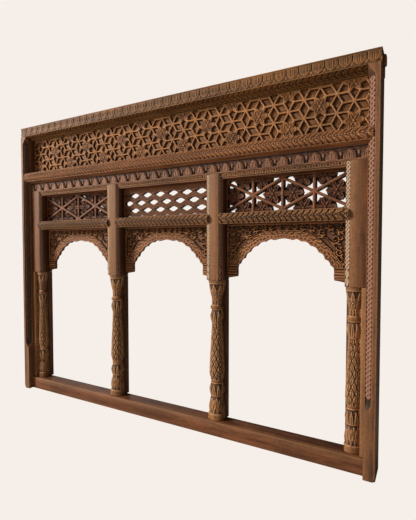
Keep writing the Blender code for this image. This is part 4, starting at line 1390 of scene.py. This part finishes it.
def jamb(side):
    node = "jamb_right" if side > 0 else "jamb_left"
    out, into = side * OUTER, side * INNER
    wide, deep, sunk = 0.0235, 0.0225, 0.0026
    top = JAMB_TOP - GAP
    start, full = 0.215, 0.250
    levels = [0.0, 0.004, 0.008, 0.014] + smooth_steps(0.02, start, 12) + smooth_steps(start, full, 8)
    levels += smooth_steps(full, top - 0.040, 60) + smooth_steps(top - 0.040, top, 10) + [top]
    unit = math.hypot(wide, deep)
    nx, ny = -side * deep / unit, -wide / unit
    rings, dark, bright = [], [], []
    for z in levels:
        share = ease((z - start) / (full - start)) * ease((top - 0.004 - z) / 0.036)
        foot = max(0.0, 0.007 - z * 0.5)
        cx, cy = 0.002 + (wide - 0.002) * share, 0.002 + (deep - 0.002) * share
        sink = sunk * share
        a, b = np.array((into, JAMB_Y + cy)), np.array((into + side * cx, JAMB_Y))
        rim = 0.0022 * share + 0.0002
        way = (b - a) / np.linalg.norm(b - a)
        step = rim + 0.0008
        ground = [a + way * rim, a + way * step, (a + b) / 2, b - way * step, b - way * rim]
        for k in (1, 2, 3):
            ground[k] = ground[k] - np.array((nx, ny)) * sink
        plan = [(into, BACK_Y), (into, PANEL_Y), tuple(a)] + [tuple(g) for g in ground] + [tuple(b)]
        plan += [(into + side * 0.030, JAMB_Y), (out - side * (0.0016 + foot), JAMB_Y),
                 (out, JAMB_Y + 0.0016 + foot), (out, PANEL_Y), (out, BACK_Y - 0.001),
                 (out - side * 0.001, BACK_Y)]
        ring = []
        for x, y in plan:
            share_back = min(max((y - CORNICE_Y) / (PANEL_Y - CORNICE_Y), 0.0), 1.0)
            ring.append((x, y, z - (share_back * (JAMB_TOP - FRIEZE_TOP) if z == top else 0.0)))
        rings.append(ring)
        # Marks per plan point: painted shade on the sunk chamfer ground and towards the back, and a pale
        # crest colour of dust and painted highlight on the arrises.
        dark += [0.3, 0.2, 0, 0, 0.8 * share, 0.95 * share, 0.8 * share, 0, 0, 0, 0, 0, 0, 0.1, 0.3]
        bright += [0, 0, 0.5, 0.2, 0, 0, 0, 0.2, 0.6, 0.1, 0.7, 0.7, 0, 0, 0]
    body = closed(lofted("jamb_body", rings, {"hollow": dark, "crest": bright}, FINISH["jamb"]), 35.0)
    centre = (into + side * wide / 2 - nx * sunk, JAMB_Y + deep / 2 - ny * sunk)
    across = (side * wide / unit, -deep / unit)
    # The left jamb's braid faces away from the key lamp and takes the shaded copy of the braid finish,
    # painted shade.
    paint = FINISH["braid" if side > 0 else "shaded_braid"]
    strands = braid("jamb_braid", full + 0.018, top - 0.038, 0.0310, 0.0082, 0.0046, 0.0020, centre, across,
                    (nx, ny), paint)
    handed_over(joined(node + "_carved", [body, strands]), node)


jamb(-1)
jamb(1)

# %% [markdown]
# Posts. Above the abacus they are square timber with a braid on each chamfered arris. Below it
# they are pillars: a leaf capital with a round eye, a ringed neck, a shaft in a net of pointed
# leaves, and rings of petals over the base. The carving is a relief on the turned profile. The
# braids that face away from the lamp are painted darker as shade, and those that face it paler as
# a painted highlight.

# %% Relief of a pillar
PROFILE = [(0.0592, 0.0352), (0.0820, 0.0352), (0.0835, 0.0290), (0.1050, 0.0330), (0.1530, 0.0240),
           (0.1820, 0.0320), (0.2130, 0.0220), (0.2460, 0.0310), (0.3160, 0.0280), (0.4500, 0.0200),
           (0.4830, 0.0285), (0.5060, 0.0210), (0.5180, 0.0285), (0.5250, 0.0195), (0.5500, 0.0200),
           (0.5810, 0.0275), (0.6110, 0.0330), (0.6258, 0.0352)]


def petals(angle, z, low, high, across, point_up=True):
    """0 to 1 for a ring of pointed leaves between two heights, each with a middle cut."""
    t = (z - low) / (high - low)
    if not point_up:
        t = 1.0 - t
    wide = across / 2 * np.clip(1.0 - np.clip(t, 0.0, 1.0) ** 2.2, 0.0, 1.0) ** 0.8
    side = wrapped(angle, across)
    body = ease((wide - np.abs(side)) / 0.12) * (t > -0.02) * (t < 1.0)
    return body * (1.0 - 0.5 * groove(side, 0.07) * ease(t * 5) * ease((0.85 - t) * 5))


def pillar_relief(angle, z):
    """Heights over the turned profile, from the capital down to the base."""
    height = np.zeros_like(z)

    def zone(low, high):
        return ease((z - low) * 700) * ease((high - z) * 700)

    capital = np.maximum(petals(angle, z, 0.5530, 0.6110, 1.05),
                         0.8 * petals(angle + 0.52, z, 0.5560, 0.5900, 1.05))
    eye = np.hypot(wrapped(angle, 1.05) * 0.026, z - 0.5700)
    capital = np.maximum(capital, groove(eye, 0.0075) * 1.5)
    capital -= 0.9 * groove(eye - 0.0062, 0.0014)
    height -= 0.0042 * (1.0 - capital) * zone(0.5510, 0.6115)
    height -= 0.0022 * groove(z - 0.6150, 0.0016) + 0.0016 * groove(z - 0.6200, 0.0012)
    neck = petals(angle, z, 0.5190, 0.5500, 0.70, False)
    height -= 0.0034 * (1.0 - neck) * zone(0.5262, 0.5495)
    bulb = petals(angle, z, 0.4540, 0.5050, 0.80)
    height -= 0.0040 * (1.0 - bulb) * zone(0.4520, 0.5060)
    pitch, tall = 0.86, 0.0440
    swing = angle + 0.10 * np.sin(z * 71.0)
    one = wrapped(swing + z * pitch / tall, pitch)
    two = wrapped(swing - z * pitch / tall, pitch)
    leaf = ease((pitch / 2 - np.maximum(np.abs(one), np.abs(two))) / 0.13)
    leaf *= 1.0 - 0.5 * groove(one + two, 0.22) * ease((pitch * 0.36 - np.abs(one - two) / 2) / 0.05)
    height -= 0.0052 * (1.0 - leaf) * zone(0.2215, 0.4500)
    lobes = petals(angle, z, 0.1560, 0.2040, 0.75)
    height -= 0.0040 * (1.0 - lobes) * zone(0.1560, 0.2060)
    lozenge = np.abs(wrapped(angle, 0.9) * 0.028) / 0.011 + np.abs(z - 0.1290) / 0.0150
    foot = np.maximum(ease((1.0 - lozenge) * 3), petals(angle + 0.45, z, 0.1060, 0.1520, 0.9))
    height -= 0.0034 * (1.0 - foot) * zone(0.1050, 0.1530)
    height += 0.0026 * groove(lozenge, 0.35)
    base = petals(angle, z, 0.0835, 0.1080, 0.6, False)
    height -= 0.0030 * (1.0 - base) * zone(0.0840, 0.1050)
    height -= 0.0016 * groove(z - 0.0700, 0.0016)
    return height


print("pillar runs from", PROFILE[0][0], "to", PROFILE[-1][0])

# %% Pillar and block of one post
TWIST_LOW, TWIST_TOP = 0.6290, 0.6840


def post(node, x0, x1, side, strip):
    """side is the way from the bay to the wall for an end post; strip is its plain face."""
    both = strip == 0.0
    low_x, high_x = x0 + side * GAP, x1 - side * GAP
    plain_x = x1 - side * strip
    middle = (x0 + plain_x) / 2
    room = abs(plain_x - x0) / 2 - 0.0006
    count = 42
    levels = np.arange(PROFILE[0][0], PROFILE[-1][0], 0.0023)
    z_known, r_known = np.array(PROFILE).T
    radius = np.interp(levels, z_known, r_known)
    soft = np.convolve(np.pad(radius, 2, mode="edge"), np.ones(5) / 5, mode="valid")
    plinth = (levels < 0.0840) | (levels > 0.6180)
    radius = np.where(plinth, radius, soft) * (1.0 if both else 0.80)
    radius = np.minimum(radius, room)
    turn = np.linspace(-math.pi / 2, math.pi / 2, count)
    t, z = np.meshgrid(turn, levels)
    height = pillar_relief(t, z)
    fade = ease((math.pi / 2 - np.abs(turn)) / 0.12)
    height *= fade[None]
    hollow, crest = shade_and_wear_marks(height, wrap=())
    r = radius[:, None] + height
    front = np.stack([middle + side * r * np.sin(t), 0.0105 - r * 0.80 * np.cos(t), z], -1)
    # Marks of the pillar: painted shade on the sides that turn back into the post and in the carved hollows,
    # and a pale crest colour of dust and painted highlight on the proud carving.
    rings, dark, bright = [], [], []
    for i, level in enumerate(levels):
        ring = [(low_x, BACK_Y, level), (low_x, 0.0345, level), (front[i, 0, 0], 0.0337, level)]
        ring += front[i].tolist()
        if both:
            ring += [(front[i, -1, 0], 0.0337, level), (high_x, 0.0345, level), (high_x, BACK_Y, level)]
            dark += [0.5, 0.7, 0.9] + hollow[i].tolist() + [0.9, 0.7, 0.5]
            bright += [0.0] * 3 + crest[i].tolist() + [0.0] * 3
        else:
            ring[-1] = (plain_x, 0.0065, level)
            ring += [(plain_x, POST_Y, level), (high_x, POST_Y, level), (high_x, BACK_Y, level)]
            dark += [0.5, 0.7, 0.9] + hollow[i].tolist() + [0.1, 0.1, 0.5]
            bright += [0.0] * 3 + crest[i].tolist() + [0.6, 0.0, 0.0]
        rings.append(ring)
    pillar = closed(lofted("pillar", rings, {"hollow": dark, "crest": bright}, FINISH["pillar"]), 50.0)

    wide, deep, sunk = 0.0160, 0.0060, 0.0022
    unit = math.hypot(wide, deep)
    edge = POST_Y + deep
    top = LOTUS_LOW - GAP
    levels = [0.6262] + smooth_steps(0.6275, top, 40) + [top]
    rings, dark, bright = [], [], []

    def chamfer(corner, way):
        """Ground points of the sunk chamfer from the side arris to the front arris."""
        a, b = np.array((corner, edge)), np.array((corner + way * wide, POST_Y))
        along = (b - a) / unit
        out = np.array((-way * deep / unit, -wide / unit))
        spots = [a, a + along * 0.0012, a + along * 0.0018 - out * sunk, (a + b) / 2 - out * sunk,
                 b - along * 0.0018 - out * sunk, b - along * 0.0012, b]
        return [tuple(s) for s in spots], (a + b) / 2 - out * sunk, along * way, out

    near, near_mid, near_way, near_out = chamfer(low_x, side)
    for level in levels:
        plan = [(low_x, BACK_Y), (low_x, 0.0345), (low_x, 0.0180)] + near
        shade = [0.5, 0.8, 0.5, 0, 0, 0.8, 0.9, 0.8, 0, 0]
        light = [0, 0, 0, 0.8, 0.4, 0, 0, 0, 0.4, 0.8]
        if both:
            far, far_mid, far_way, far_out = chamfer(high_x, -side)
            plan += far[::-1] + [(high_x, 0.0180), (high_x, 0.0345), (high_x, BACK_Y)]
            shade += [0, 0, 0.8, 0.9, 0.8, 0, 0, 0.5, 0.8, 0.5]
            light += [0.8, 0.4, 0, 0, 0, 0.4, 0.8, 0, 0, 0]
        else:
            plan += [(high_x - side * 0.002, POST_Y), (high_x, POST_Y + 0.001), (high_x, BACK_Y)]
            shade += [0, 0.2, 0.5]
            light += [0.1, 0.1, 0]
        rings.append([(x, y, level) for x, y in plan])
        dark += shade
        bright += light
    block = closed(lofted("block", rings, {"hollow": dark, "crest": bright}, FINISH["post"]), 35.0)
    # Braids facing the key lamp take the lit copy of the braid finish, those facing away the shaded copy:
    # painted highlight and painted shade.
    strips = [(near_mid, near_way, near_out, FINISH["lit_braid" if side > 0 else "shaded_braid"])]
    if both:
        strips.append((far_mid, far_way, far_out, FINISH["shaded_braid"]))
    parts = [pillar, block]
    for mid, way, out, paint in strips:
        parts.append(braid("post_braid", TWIST_TOP + 0.002, top - 0.002, 0.0270, 0.0050, 0.0034, 0.0014, mid,
                           way * side, out, paint))
        parts.append(braid("post_twist", TWIST_LOW, TWIST_TOP, TWIST_TOP - TWIST_LOW, 0.0036, 0.0042, 0.0012,
                           mid, way * side, out, paint))
    handed_over(joined(node + "_carved", parts), node)


first_x = INNER - POST_W
post("post_left", -first_x, -INNER, -1, 0.0150)
post("post_right", first_x, INNER, 1, 0.0150)
post("mullion_left", -BAY_W / 2 - MULLION_W, -BAY_W / 2, 1, 0.0)
post("mullion_right", BAY_W / 2, BAY_W / 2 + MULLION_W, 1, 0.0)

# %% [markdown]
# The sill is a plain square timber, redder than the rest and worn along its upper arris, where
# people lean. The loft follows its length, and slow swings in the outline stand for the wear.

# %% Sill


def sill():
    x = INNER - GAP
    high = SILL_TOP - GAP
    rings, dark, bright = [], [], []
    for k in range(141):
        s = -x + 2 * x * k / 140
        worn = 0.0010 + 0.0008 * (math.sin(s * 17.0) * math.sin(s * 5.3 + 1.0)) ** 2
        plan = [(SILL_BACK, 0.0), (SILL_Y + 0.004, 0.0), (SILL_Y + 0.0012, 0.0010), (SILL_Y, 0.004),
                (SILL_Y, high / 2), (SILL_Y, high - 0.003 - worn),
                (SILL_Y + 0.0010 + worn * 0.5, high - 0.0008 - worn * 0.4),
                (SILL_Y + 0.004 + worn, high), (0.0, high), (SILL_BACK, high)]
        rings.append([(s, y, z) for y, z in plan])
        # Painted shade towards the underside and the back, and a pale crest colour on the upper arris that
        # is partly worn timber, partly painted highlight.
        dark += [0.3, 0.2, 0.1, 0, 0, 0, 0, 0, 0.1, 0.3]
        bright += [0, 0, 0.5, 0.3, 0, 0.5, 1.0, 0.5, 0, 0]
    obj = lofted("sill_carved", rings, {"hollow": dark, "crest": bright}, FINISH["sill"])
    handed_over(closed(obj, 40.0), "sill")


sill()
